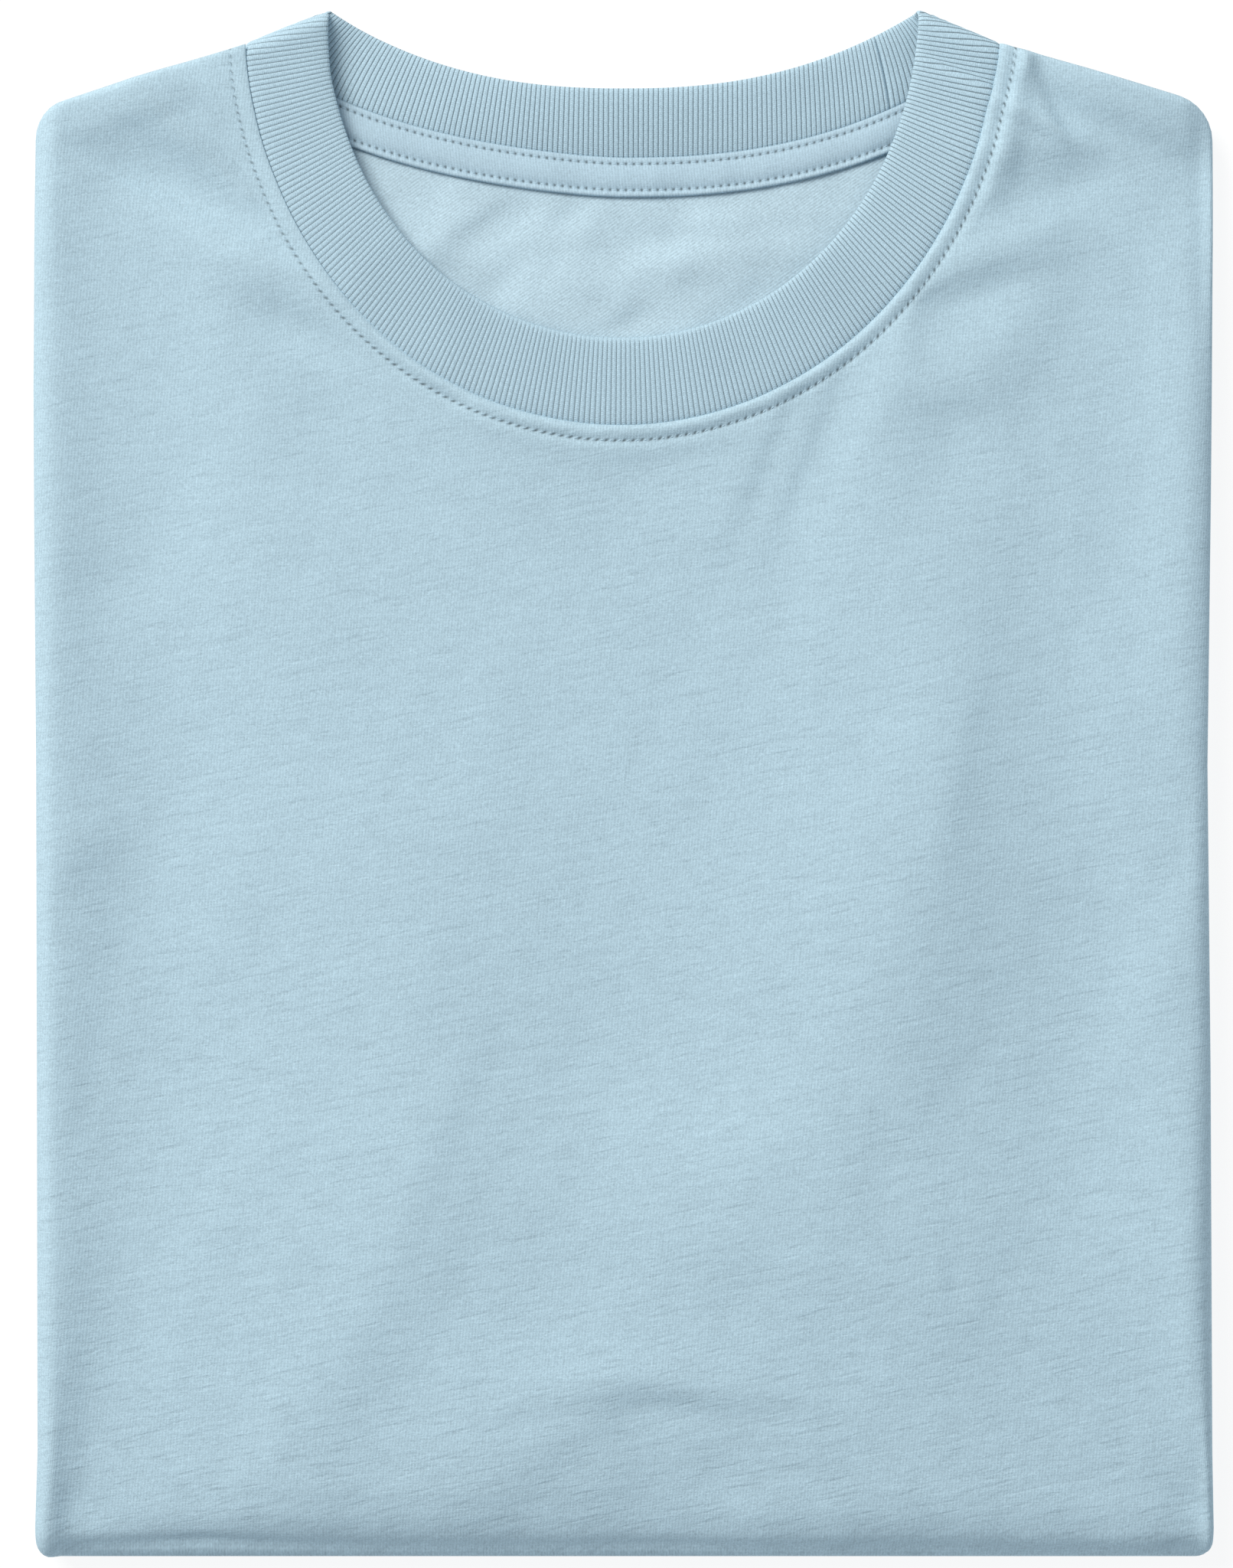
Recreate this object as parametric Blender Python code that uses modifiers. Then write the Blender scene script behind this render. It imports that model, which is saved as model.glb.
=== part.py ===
"""A crew-neck t-shirt, folded for a shelf and lying on its folded-up back.

Metres, +Z up. X runs across the shirt and Y from the bottom fold towards the neck. The origin is on the
surface, under the middle of the folded shirt. The sides are folded behind with the sleeves, and then the
bottom is folded up behind, so that the shirt is a packet with an upper arm, a round turn and a lower arm.
"""
import math

import bmesh
import bpy
import numpy as np

# The packet
FOLD_Y = -0.2232              # outermost line of the bottom fold
ARM = 0.0086                  # thickness of the upper arm and of the lower arm
ARMS_GAP = 0.0008             # clear space between the two arms
HEM_Y = 0.0800                # where the folded-up hem ends, underneath
RETURN_X = 0.1050             # how far in the folded-in sides reach, underneath
SIDE_ROLL = 0.0090            # width of the soft roll along the upper arm's sides
CORNER_ROLL = 0.0048          # width of the same roll round the bottom fold and below

# Outline of the sides: a row for each height up the shirt
SIDES = (
    # y, left, right
    (-0.2160, 0.1706, 0.1710),
    (-0.1940, 0.1699, 0.1706),
    (-0.0830, 0.1701, 0.1701),
    (0.0050, 0.1703, 0.1692),
    (0.1150, 0.1712, 0.1706),
    (0.1820, 0.1710, 0.1712),
)

# How the upper arm drops towards the shoulders, where less lies under it
DROPS = (
    # from y, to y, drop
    (0.0700, 0.1500, 0.0020),
    (0.1500, 0.2150, 0.0050),
)

# Shoulders
SHOULDER_X = 0.1100           # where the shoulder meets the collar's seam
SHOULDER_Y = 0.2145
LEFT_SLOPE = 0.325
RIGHT_SLOPE = 0.305
LEFT_CORNER = 0.0120          # radius of each rounded outer corner
RIGHT_CORNER = 0.0140
EDGE_LEVEL = 0.0019           # half the thickness left along the shoulder edge

# Cloth
JERSEY = 0.0010
RIB = 0.0022
TAPE = 0.0008
SEAM_GAP = 0.0003

# Collar: curves of the seam and of the free edge, front and back
FRONT_SEAM_DEPTH = 0.1106
FRONT_SEAM_POWER = 1.93
PEAK_X = 0.0857
PEAK_Y = 0.2231
FRONT_EDGE_DEPTH = 0.0949
BACK_SEAM_Y = 0.1808
BACK_EDGE_Y = 0.2003
BACK_POWER = 2.35
FRONT_RIBS = 206
BACK_RIBS = 118
RIB_RELIEF = 0.00028          # from a rib's crest to the valley beside it
FRONT_LEVEL = 0.0031          # the band's middle above the arm's middle, at the front seam
FRONT_LEAN = (0.0003, 0.0009)  # how far the free edge lies lower, at the shoulders and at the bottom
BACK_SEAM_LEVELS = (-0.0036, -0.0021)  # at the centre back and at the shoulders
BACK_RISE = 0.0086            # how far the band stands up at the centre back
BACK_ARCH = 0.0007
COLLAR_FOLD_GAP = 0.0006      # more clear space beside the collar where it folds at the shoulders
BACK_SEAM_GAP = 0.0009        # clear space below the band's edge, which leans over the seam

# Inside of the back, seen through the neck
BACK_START_Y = 0.0880
BACK_HALF_WIDTH = 0.1600
UNDER_FRONT = 0.0017          # level of the back's inner face under the front
AT_SHOULDER = 0.0006          # and along the shoulder edge
SHOULDER_BLEND = (0.0010, 0.0120)  # distances from the shoulder edge over which it changes
SAG_BLEND = (0.60, 1.00)      # where it sags, as shares of the way out to the front seam
SEAM_BLEND = 0.0090           # how far from the back seam it keeps to the collar's level
BACK_SAG = (
    # y, level of the inner face along the centre line
    (0.1040, 0.0013),
    (0.1280, 0.0005),
    (0.1500, -0.0016),
    (0.1690, -0.0030),
    (0.1810, -0.0033),
)
TAPE_WIDTH = 0.0118
TAPE_REACH = 0.90             # share of the back neck that the tape follows

# Hidden layers
CORE_HALF_WIDTH = 0.1674
CORE_LEVEL = 0.0029           # half the thickness of the hidden layers
CORE_SIDE_SHARE = 0.22        # share of that thickness left at their sides
CORE_SIDE_POWER = 8           # how late their thickness falls off towards the sides
CORE_FACE_GAP = 0.0006        # more clear space under the front, for its folds
CORE_UNDER_BACK = 0.0002      # their upper face where the back lies on them
CORE_STEP_Y = 0.0850          # where the back begins to lie on them
CORE_STEP = 0.0006
CORE_EDGES = 3                # layers that show along an edge
CORE_LIP = 0.0012
CORE_INSET = 0.0030           # from the hem to the hidden edges inside it
CORE_NECK_MARGIN = 0.0060
CORE_SHOULDER_INSET = 0.0150  # from the shoulder edge to the hidden edges inside it

# Sleeves, folded in half behind
SLEEVE_FOLD_X = 0.1650
CUFF_X = 0.0600
ARMHOLE_X = 0.0950
SLEEVE_FROM_Y = 0.0820
SLEEVE_TO_Y = 0.1580
SLEEVE_ARM = 0.0031
SLEEVE_GAP = 0.0004

# Largest soft folds of the front: troughs are negative
FRONT_FOLDS = (
    # from x, from y, to x, to y, half width, height
    (-0.1520, 0.1500, -0.1520, 0.0300, 0.0060, -0.0007),
    (-0.1530, 0.0300, -0.1500, -0.0600, 0.0070, -0.0011),
    (-0.1500, -0.0600, -0.1560, -0.2000, 0.0060, -0.0008),
    (-0.1240, 0.1070, -0.1240, 0.0400, 0.0130, 0.0005),
    (0.1130, 0.0800, 0.0960, -0.0390, 0.0120, -0.0011),
    (0.0960, -0.0390, 0.0680, -0.1060, 0.0110, -0.0009),
    (0.0807, 0.1310, 0.0540, 0.0800, 0.0080, 0.0006),
    (-0.0387, -0.0790, -0.0900, -0.1950, 0.0140, -0.0008),
    (-0.0170, -0.1790, 0.0450, -0.1800, 0.0050, -0.0012),
    (0.0900, 0.1400, 0.1360, 0.1554, 0.0050, -0.0008),
    (0.0850, 0.1090, 0.1200, 0.1210, 0.0060, -0.0006),
    (-0.1670, 0.1830, -0.1230, 0.1960, 0.0050, -0.0006),
    (0.1670, 0.1800, 0.1230, 0.1960, 0.0050, -0.0006),
    (0.1560, -0.0300, 0.1470, -0.0660, 0.0060, 0.0006),
)

# Steps of the meshes
FACE_STEPS = 12
FACE_CROWDING = 1.35          # gathers the columns towards the sides
ROLL_STEPS = 6
RETURN_STEPS = 2
EDGE_DISTANCES = (0.0, 0.0005, 0.0014, 0.0026, 0.0070)
UPPER_STEPS = 19
TURN_STEPS = 6
LOWER_STEPS = 5
TAPE_COLUMNS = 16
TAPE_ROWS = 2
BACK_ROWS = 6
BACK_OUTER_SHARES = (0.10, 0.18, 0.40, 0.70, 1.0)  # columns from the tape's end to the back's side
CORE_COLUMNS = 12
NECK_STEPS = 72

BAND_SECTION = (
    # share of the band's width from the seam, share of half its thickness
    (0.00, 1.00),
    (0.50, 1.15),
    (0.95, 0.85),
    (1.00, -0.25),
    (0.00, -1.00),
)

CLOTH_NAME = "folded_t_shirt"


def smooth(start, end, value):
    """Rise softly from 0 at start to 1 at end."""
    share = np.clip((value - start) / (end - start), 0.0, 1.0)
    return share * share * (3 - 2 * share)


def mix(first, second, share):
    return first + (second - first) * share


def hairpin(run, level, arm, gap):
    """Distance from the fold, and height, of a point in a packet that is folded once.

    run is 0 where the upper arm meets the turn, and falls round the turn and along the lower arm.
    level is the distance from the arm's middle, towards the packet's outside.
    """
    radius = (arm + gap) / 2
    centre = radius + arm / 2
    turn = math.pi * radius
    if run >= 0:
        return centre + run, centre + radius + level
    if run > -turn:
        angle = math.pi / 2 + run / radius
        reach = radius + level
        return centre - reach * math.cos(angle), centre + reach * math.sin(angle)
    return centre - turn - run, centre - radius - level


TURN_RADIUS = (ARM + ARMS_GAP) / 2
TURN_Y = FOLD_Y + TURN_RADIUS + ARM / 2
TURN_LENGTH = math.pi * TURN_RADIUS
HEM_RUN = TURN_Y - HEM_Y - TURN_LENGTH


def drop(y):
    """How far the upper arm lies below its full height."""
    return sum(depth * smooth(start, end, y) for start, end, depth in DROPS)


def place(x, run, level):
    """World point of a place in the packet."""
    distance, height = hairpin(run, level, ARM, ARMS_GAP)
    y = FOLD_Y + distance
    if run > 0:
        height -= drop(y)
    return (x, y, height)


def on_upper_arm(x, y, level):
    return place(x, y - TURN_Y, level)


def half_width(side, y):
    """Distance from the centre line to the outline, on the left (-1) or the right (1)."""
    rows = np.array(SIDES)
    return float(np.interp(y, rows[:, 0], rows[:, 1 if side < 0 else 2]))


def shoulder_slope(x):
    return LEFT_SLOPE if x < 0 else RIGHT_SLOPE


def shoulder_line(x):
    """Top edge at the shoulder, before its corner is rounded."""
    return SHOULDER_Y - shoulder_slope(x) * max(abs(x) - SHOULDER_X, 0.0)


def top_edge(x, behind=False):
    """Top edge of the shirt at x, round the corner and along the strip that is folded behind."""
    side = math.copysign(1, x)
    slope = shoulder_slope(x)
    radius = LEFT_CORNER if side < 0 else RIGHT_CORNER
    half = half_width(side, SHOULDER_Y)
    centre_x = half - radius
    centre_y = shoulder_line(side * centre_x) - radius * math.hypot(1, slope)
    offset = min(abs(x) - centre_x, radius)
    edge = shoulder_line(x)
    if offset > radius * math.sin(math.atan(slope)):
        edge = centre_y + math.sqrt(radius ** 2 - offset ** 2)
    if behind:
        edge = min(edge, shoulder_line(side * half) - slope * (half - abs(x)))
    return edge


def front_fold(x, y):
    """Height of the soft folds at a place on the front."""
    height = 0.0
    for x1, y1, x2, y2, width, rise in FRONT_FOLDS:
        length = math.hypot(x2 - x1, y2 - y1)
        along = ((x - x1) * (x2 - x1) + (y - y1) * (y2 - y1)) / length
        across = ((x - x1) * (y2 - y1) - (y - y1) * (x2 - x1)) / length
        taper = 2 * width
        ends = smooth(-taper, taper, along) * (1 - smooth(length - taper, length + taper, along))
        height += rise * ends * math.exp(-(across / width) ** 2)
    return height


def neck_level(x, y):
    """1 on the front neck seam, less inside it and more outside."""
    across = abs(x) / SHOULDER_X
    down = max(SHOULDER_Y - y, 0.0) / FRONT_SEAM_DEPTH
    return across ** FRONT_SEAM_POWER + down ** FRONT_SEAM_POWER


def back_neckline(share):
    """Height up the shirt of the back neck seam, at a share of the way out to the shoulder."""
    return BACK_SEAM_Y + (SHOULDER_Y - BACK_SEAM_Y) * min(abs(share), 1.0) ** BACK_POWER


def back_seam_level(share):
    centre, shoulder = BACK_SEAM_LEVELS
    return mix(centre, shoulder, min(abs(share), 1.0) ** 3)


def back_level(x, y):
    """Level of the back's inner face: close under the front, and sagging inside the neck."""
    rows = np.array(BACK_SAG)
    share = abs(x) / SHOULDER_X
    inside_neck = 1 - smooth(0.96, 1.04, share)
    near_edge = (1 - smooth(*SHOULDER_BLEND, top_edge(x) - y)) * (1 - inside_neck)
    under = mix(UNDER_FRONT, AT_SHOULDER, near_edge)
    sag = float(np.interp(y, rows[:, 0], rows[:, 1]))
    level = mix(under, sag, 1 - smooth(*SAG_BLEND, neck_level(x, y)))
    below_seam = max(back_neckline(share) - y, 0.0)
    near_seam = math.exp(-(below_seam / SEAM_BLEND) ** 2) * inside_neck
    return mix(level, back_seam_level(share) + JERSEY / 2, near_seam)


def link(thing, collection):
    collection.objects.link(thing)
    return thing


def sheet(name, rows, collection, thickness=None):
    """A grid of points as a surface; with a thickness, cloth grows from it against its normals."""
    mesh = bpy.data.meshes.new(name)
    bm = bmesh.new()
    grid = [[bm.verts.new(point) for point in row] for row in rows]
    for low, high in zip(grid, grid[1:]):
        for left, right, far_right, far_left in zip(low, low[1:], high[1:], high):
            bm.faces.new((left, far_left, far_right, right))
    bm.to_mesh(mesh)
    bm.free()
    mesh.shade_smooth()
    thing = link(bpy.data.objects.new(name, mesh), collection)
    if thickness:
        solidify = thing.modifiers.new("cloth", "SOLIDIFY")
        solidify.thickness = thickness
        solidify.offset = -1
        solidify.use_even_offset = True
    return thing


def loft(name, rings, collection, closed_along=False):
    """A closed body through rings of points; its ends are capped, or it runs round into itself."""
    mesh = bpy.data.meshes.new(name)
    bm = bmesh.new()
    loops = [[bm.verts.new(point) for point in ring] for ring in rings]
    following = loops[1:] + loops[:1] if closed_along else loops[1:]
    for near, far in zip(loops, following):
        count = len(near)
        for i in range(count):
            j = (i + 1) % count
            bm.faces.new((near[i], near[j], far[j], far[i]))
    if not closed_along:
        bm.faces.new(list(reversed(loops[0])))
        bm.faces.new(loops[-1])
    bmesh.ops.recalc_face_normals(bm, faces=bm.faces)
    bm.to_mesh(mesh)
    bm.free()
    mesh.shade_smooth()
    mesh.set_sharp_from_angle(angle=math.radians(50))
    return link(bpy.data.objects.new(name, mesh), collection)


def cut(thing, cutter):
    """Take the cutter's shape out of a body."""
    boolean = thing.modifiers.new("cut", "BOOLEAN")
    boolean.operation = "DIFFERENCE"
    boolean.object = cutter


def side_section(side, half, roll):
    """Half of the packet's section: x and level from the middle, round the side, to the turned-in end."""
    depth = ARM / 2
    points = []
    for i in range(FACE_STEPS):
        share = 1 - (1 - i / FACE_STEPS) ** FACE_CROWDING
        points.append(((half - roll) * share, depth, False))
    for i in range(ROLL_STEPS + 1):
        angle = math.pi * i / ROLL_STEPS
        behind = 2 * i > ROLL_STEPS
        width = depth if behind else roll
        points.append((half - width + width * math.sin(angle), depth * math.cos(angle), behind))
    for i in range(1, RETURN_STEPS + 1):
        x = mix(half - depth, RETURN_X, i / RETURN_STEPS)
        points.append((x, -depth, True))
    return [(side * x, level, behind) for x, level, behind in points]


def packet_section(y, roll):
    """The whole section, from the left turned-in end to the right one."""
    left = side_section(-1, half_width(-1, y), roll)
    right = side_section(1, half_width(1, y), roll)
    return list(reversed(left)) + right[1:]


def pinch(distance, x, behind):
    """Share of the thickness that is left this far from the top edge."""
    round_over = ARM / 2 - EDGE_LEVEL
    lost = 1 - math.sqrt(1 - max(1 - distance / round_over, 0.0) ** 2)
    half = half_width(x, SHOULDER_Y)
    start = half - 1.6 * SIDE_ROLL if behind else SHOULDER_X - 0.0040
    lost *= smooth(start, start + SIDE_ROLL, abs(x))
    return 1 - lost * round_over / (ARM / 2)


def front_rows():
    """Rows of the front: down the upper arm, round the bottom fold and up the lower arm to the hem."""
    rows = []
    reference = packet_section(SHOULDER_Y, SIDE_ROLL)
    tops = [top_edge(x, behind) for x, level, behind in reference]
    last = EDGE_DISTANCES[-1]
    for i in range(len(EDGE_DISTANCES) + UPPER_STEPS):
        row = []
        for column, top in enumerate(tops):
            if i < len(EDGE_DISTANCES):
                distance = EDGE_DISTANCES[i]
                y = top - distance
            else:
                share = (i - len(EDGE_DISTANCES) + 1) / UPPER_STEPS
                y = mix(top - last, TURN_Y, share)
                distance = top - y
            roll = mix(CORNER_ROLL, SIDE_ROLL, smooth(TURN_Y, TURN_Y + 0.05, y))
            x, level, behind = packet_section(y, roll)[column]
            level *= pinch(distance, x, behind)
            if level > 0:
                level += front_fold(x, y) * (level / (ARM / 2)) ** 2
            row.append(on_upper_arm(x, y, level))
        rows.append(row)
    for i in range(1, TURN_STEPS + LOWER_STEPS + 1):
        if i <= TURN_STEPS:
            run = -TURN_LENGTH * i / TURN_STEPS
        else:
            run = mix(-TURN_LENGTH, HEM_RUN, (i - TURN_STEPS) / LOWER_STEPS)
        y = max(TURN_Y, TURN_Y - TURN_LENGTH - run)
        rows.append([place(x, run, level) for x, level, behind in packet_section(y, CORNER_ROLL)])
    return rows


def neck_cutter(margin, collection):
    """An upright prism over the neck opening, larger than the seam by the margin."""
    curve = bpy.data.curves.new("neck_cutter", "CURVE")
    curve.dimensions = "2D"
    curve.fill_mode = "BOTH"
    curve.extrude = ARM + ARMS_GAP
    spline = curve.splines.new("POLY")
    points = []
    for i in range(NECK_STEPS + 1):
        along = i / NECK_STEPS
        x, y = front_curve(along, 0.0)
        slope_x = x / SHOULDER_X ** 2
        slope_y = (y - SHOULDER_Y) / FRONT_SEAM_DEPTH ** 2
        length = math.hypot(slope_x, slope_y)
        reach = margin + COLLAR_FOLD_GAP * abs(math.cos(math.pi * along)) ** 12
        points.append((x + reach * slope_x / length, y + reach * slope_y / length))
    right_x = points[-1][0]
    past_collar = PEAK_Y + CORE_NECK_MARGIN
    points.append((right_x, past_collar))
    points.append((-right_x, past_collar))
    spline.points.add(len(points) - 1)
    for point, (x, y) in zip(spline.points, points):
        point.co = (x, y, 0, 1)
    spline.use_cyclic_u = True
    outline = link(bpy.data.objects.new("neck_outline", curve), collection)
    outline.location.z = ARM
    bpy.context.view_layer.update()
    seen = outline.evaluated_get(bpy.context.evaluated_depsgraph_get())
    mesh = bpy.data.meshes.new_from_object(seen)
    bm = bmesh.new()
    bm.from_mesh(mesh)
    bmesh.ops.remove_doubles(bm, verts=bm.verts, dist=0.00001)
    bm.to_mesh(mesh)
    bm.free()
    cutter = link(bpy.data.objects.new("neck_cutter", mesh), collection)
    cutter.matrix_world = outline.matrix_world
    bpy.data.objects.remove(outline)
    cutter.hide_render = True
    cutter.display_type = "WIRE"
    return cutter


def front_curve(along, across):
    """A point of the collar's front half, from the left shoulder (0) to the right, and from seam to edge."""
    width = mix(SHOULDER_X, PEAK_X, across)
    depth = mix(FRONT_SEAM_DEPTH, FRONT_EDGE_DEPTH, across)
    centre = mix(SHOULDER_Y, PEAK_Y, across)
    power = 2 / mix(FRONT_SEAM_POWER, 2.0, across)
    cosine = math.cos(math.pi * along)
    sine = abs(math.sin(math.pi * along))
    return (-math.copysign(abs(cosine) ** power, cosine) * width, centre - sine ** power * depth)


def back_curve(along, across):
    """A point of the collar's back half, from the right shoulder (0) to the left."""
    share = 1 - 2 * along
    x = mix(SHOULDER_X, PEAK_X, across) * share
    edge = BACK_EDGE_Y + (PEAK_Y - BACK_EDGE_Y) * abs(share) ** BACK_POWER
    return (x, mix(back_neckline(share), edge, across))


def front_band_level(along, across):
    shoulders, bottom = FRONT_LEAN
    return FRONT_LEVEL - across * mix(shoulders, bottom, math.sin(math.pi * along) ** 2)


def back_band_level(along, across):
    share = abs(1 - 2 * along)
    middle = 1 - share ** 3
    return back_seam_level(share) + (BACK_RISE * across + BACK_ARCH * math.sin(math.pi * across)) * middle


def band_stations(curve, columns):
    """Even columns along half the collar: the place along its curve, and how far round the fold it is."""
    samples = np.linspace(0.0, 1.0, 401)
    middle = np.array([curve(along, 0.5) for along in samples])
    lengths = np.concatenate(([0.0], np.cumsum(np.hypot(*np.diff(middle, axis=0).T))))
    inset = RIB / 2
    radius = (FRONT_LEVEL - BACK_SEAM_LEVELS[1]) / 2
    quarter = math.pi / 2 * radius
    straight = lengths[-1] - 2 * (inset + radius)
    total = straight + 2 * quarter
    stations = []
    for column in range(columns):
        run = (column + 0.5) / columns * total
        to_end = min(run, total - run)
        if to_end < quarter:
            flat = inset + radius * (1 - math.cos(to_end / radius))
            height = math.sin(to_end / radius)
        else:
            flat = inset + radius + to_end - quarter
            height = 1.0
        if run > total / 2:
            flat = lengths[-1] - flat
        stations.append((float(np.interp(flat, lengths, samples)), height))
    return stations


def collar_middle(across):
    """The line round the whole collar at one place across the band."""
    apex = (FRONT_LEVEL + BACK_SEAM_LEVELS[1]) / 2
    line = []
    for curve, level_of, ribs in (
        (front_curve, front_band_level, FRONT_RIBS),
        (back_curve, back_band_level, BACK_RIBS),
    ):
        for along, height in band_stations(curve, 2 * ribs):
            x, y = curve(along, across)
            line.append(on_upper_arm(x, y, mix(apex, level_of(along, across), height)))
    return np.array(line)


def collar_rings():
    """Section rings of the ribbed band, with a rib's crest at every second one."""
    shares = sorted({share for share, side in BAND_SECTION})
    lines = {share: collar_middle(share) for share in shares}
    around = np.roll(lines[0.5], -1, axis=0) - np.roll(lines[0.5], 1, axis=0)
    across = lines[1.0] - lines[0.0]
    normals = np.cross(around, across)
    normals /= np.linalg.norm(normals, axis=1)[:, None]
    crest = np.where(np.arange(len(normals)) % 2 == 0, 1.0, -1.0) * RIB_RELIEF / 2
    rings = []
    for column, normal in enumerate(normals):
        ring = []
        for share, side in BAND_SECTION:
            reach = side * RIB / 2
            if side > 0.5:
                reach += crest[column]
            ring.append(lines[share][column] + normal * reach)
        rings.append(ring)
    return rings


def back_columns():
    """Places across the back: even ones along the tape, then out under the front's sides."""
    reach = TAPE_REACH * SHOULDER_X
    along_tape = [mix(-reach, reach, i / TAPE_COLUMNS) for i in range(TAPE_COLUMNS + 1)]
    outer = [mix(reach, BACK_HALF_WIDTH, share) for share in BACK_OUTER_SHARES]
    return [-x for x in reversed(outer)] + along_tape + outer


def back_rows():
    """Rows of the back, from the neckline and the shoulder edge down to where the front hides it."""
    rows = []
    for i in range(TAPE_ROWS + BACK_ROWS + 1):
        row = []
        for x in back_columns():
            if abs(x) < SHOULDER_X:
                top = back_neckline(x / SHOULDER_X) - BACK_SEAM_GAP
            else:
                top = top_edge(x) - SEAM_GAP
            if i <= TAPE_ROWS:
                y = top - TAPE_WIDTH * i / TAPE_ROWS
            else:
                y = mix(top - TAPE_WIDTH, BACK_START_Y, (i - TAPE_ROWS) / BACK_ROWS)
            row.append(on_upper_arm(x, y, back_level(x, y)))
        rows.append(row)
    return rows


def tape_rows():
    """Rows of the tape along the back neck seam: the back's own points, moved out."""
    columns = back_columns()
    first = columns.index(-TAPE_REACH * SHOULDER_X)
    last = columns.index(TAPE_REACH * SHOULDER_X)
    lift = SEAM_GAP + TAPE
    rows = back_rows()[:TAPE_ROWS + 1]
    return [[(x, y, z + lift) for x, y, z in row[first:last + 1]] for row in rows]


def layered_edge(run, level, outwards):
    """The edges of the hidden layers, one above the other: run and level from the upper to the lower."""
    points = []
    for i in range(2 * CORE_EDGES + 1):
        lip = CORE_LIP if i % 2 else 0.0
        points.append((run + outwards * lip, mix(level[0], level[1], i / (2 * CORE_EDGES))))
    return points


def core_profile(x, thickness):
    """Long section of the hidden layers at x, as run and level."""
    lower = CORE_LEVEL * thickness
    upper = lower - CORE_FACE_GAP * thickness
    under_back = min(CORE_UNDER_BACK, upper - CORE_STEP)
    hem = HEM_RUN + CORE_INSET
    step = CORE_STEP_Y - TURN_Y
    shoulder = top_edge(x) - CORE_SHOULDER_INSET - TURN_Y
    face = [mix(hem + CORE_LIP, -TURN_LENGTH, i / 5) for i in range(6)]
    face += [mix(-TURN_LENGTH, 0.0, i / 5) for i in range(1, 6)]
    face += [mix(0.0, step - CORE_STEP, i / 9) for i in range(1, 10)]
    over = [mix(step, shoulder - CORE_LIP, i / 4) for i in range(5)]
    profile = [(run, upper) for run in face]
    profile += [(run, under_back) for run in over]
    profile += layered_edge(shoulder, (under_back, -lower), 1)
    profile += [(run, -lower) for run in reversed(face + over[1:])]
    profile += reversed(layered_edge(hem, (upper, -lower), -1))
    return profile


def core_rings():
    """Long sections of the hidden layers, from the left side to the right, thinner towards both."""
    rings = []
    for i in range(CORE_COLUMNS + 1):
        across = math.sin(math.pi / 2 * mix(-1, 1, i / CORE_COLUMNS))
        x = CORE_HALF_WIDTH * across
        thickness = mix(CORE_SIDE_SHARE, 1.0, math.sqrt(1 - abs(across) ** CORE_SIDE_POWER))
        ring = []
        for run, level in core_profile(x, thickness):
            if run > 0 and level > CORE_UNDER_BACK:
                level += front_fold(x, run + TURN_Y) * thickness
            ring.append(place(x, run, level))
        rings.append(ring)
    return rings


def sleeve_rows(side):
    """Rows of a sleeve: from the armhole out to its fold, round it, and back to the cuff."""
    radius = (SLEEVE_ARM + SLEEVE_GAP) / 2
    centre = radius + SLEEVE_ARM / 2
    turn = math.pi * radius
    armhole = SLEEVE_FOLD_X - centre - ARMHOLE_X
    cuff = -turn - (SLEEVE_FOLD_X - centre - CUFF_X)
    runs = [mix(armhole, 0.0, i / 3) for i in range(3)]
    runs += [mix(0.0, -turn, i / 6) for i in range(6)]
    runs += [mix(-turn, cuff, i / 4) for i in range(5)]
    depth = SLEEVE_ARM / 2
    section = [(mix(SLEEVE_FROM_Y, SLEEVE_TO_Y - depth, i / 3), depth) for i in range(3)]
    for i in range(5):
        angle = math.pi * i / 4
        section.append((SLEEVE_TO_Y - depth + depth * math.sin(angle), depth * math.cos(angle)))
    section += [(mix(SLEEVE_TO_Y - depth, SLEEVE_FROM_Y, i / 3), -depth) for i in range(1, 4)]
    rows = []
    for run in runs:
        row = []
        for y, level in section:
            distance, height = hairpin(run, level, SLEEVE_ARM, SLEEVE_GAP)
            row.append((side * (SLEEVE_FOLD_X - distance), y, height))
        rows.append(row if side > 0 else list(reversed(row)))
    return rows


def cloth_material(name, red, green, blue, roughness):
    """A matt cloth of an sRGB colour, given in 0 to 255."""
    linear = []
    for channel in (red, green, blue):
        value = channel / 255
        linear.append(value / 12.92 if value <= 0.04045 else ((value + 0.055) / 1.055) ** 2.4)
    material = bpy.data.materials.new(name)
    material.use_nodes = True
    shader = material.node_tree.nodes["Principled BSDF"]
    shader.inputs["Base Color"].default_value = (*linear, 1.0)
    shader.inputs["Roughness"].default_value = roughness
    shader.inputs["Metallic"].default_value = 0.0
    return material


def clear_scene():
    for thing in list(bpy.data.objects):
        bpy.data.objects.remove(thing)


def new_collection(name):
    collection = bpy.data.collections.new(name)
    bpy.context.scene.collection.children.link(collection)
    return collection


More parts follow.
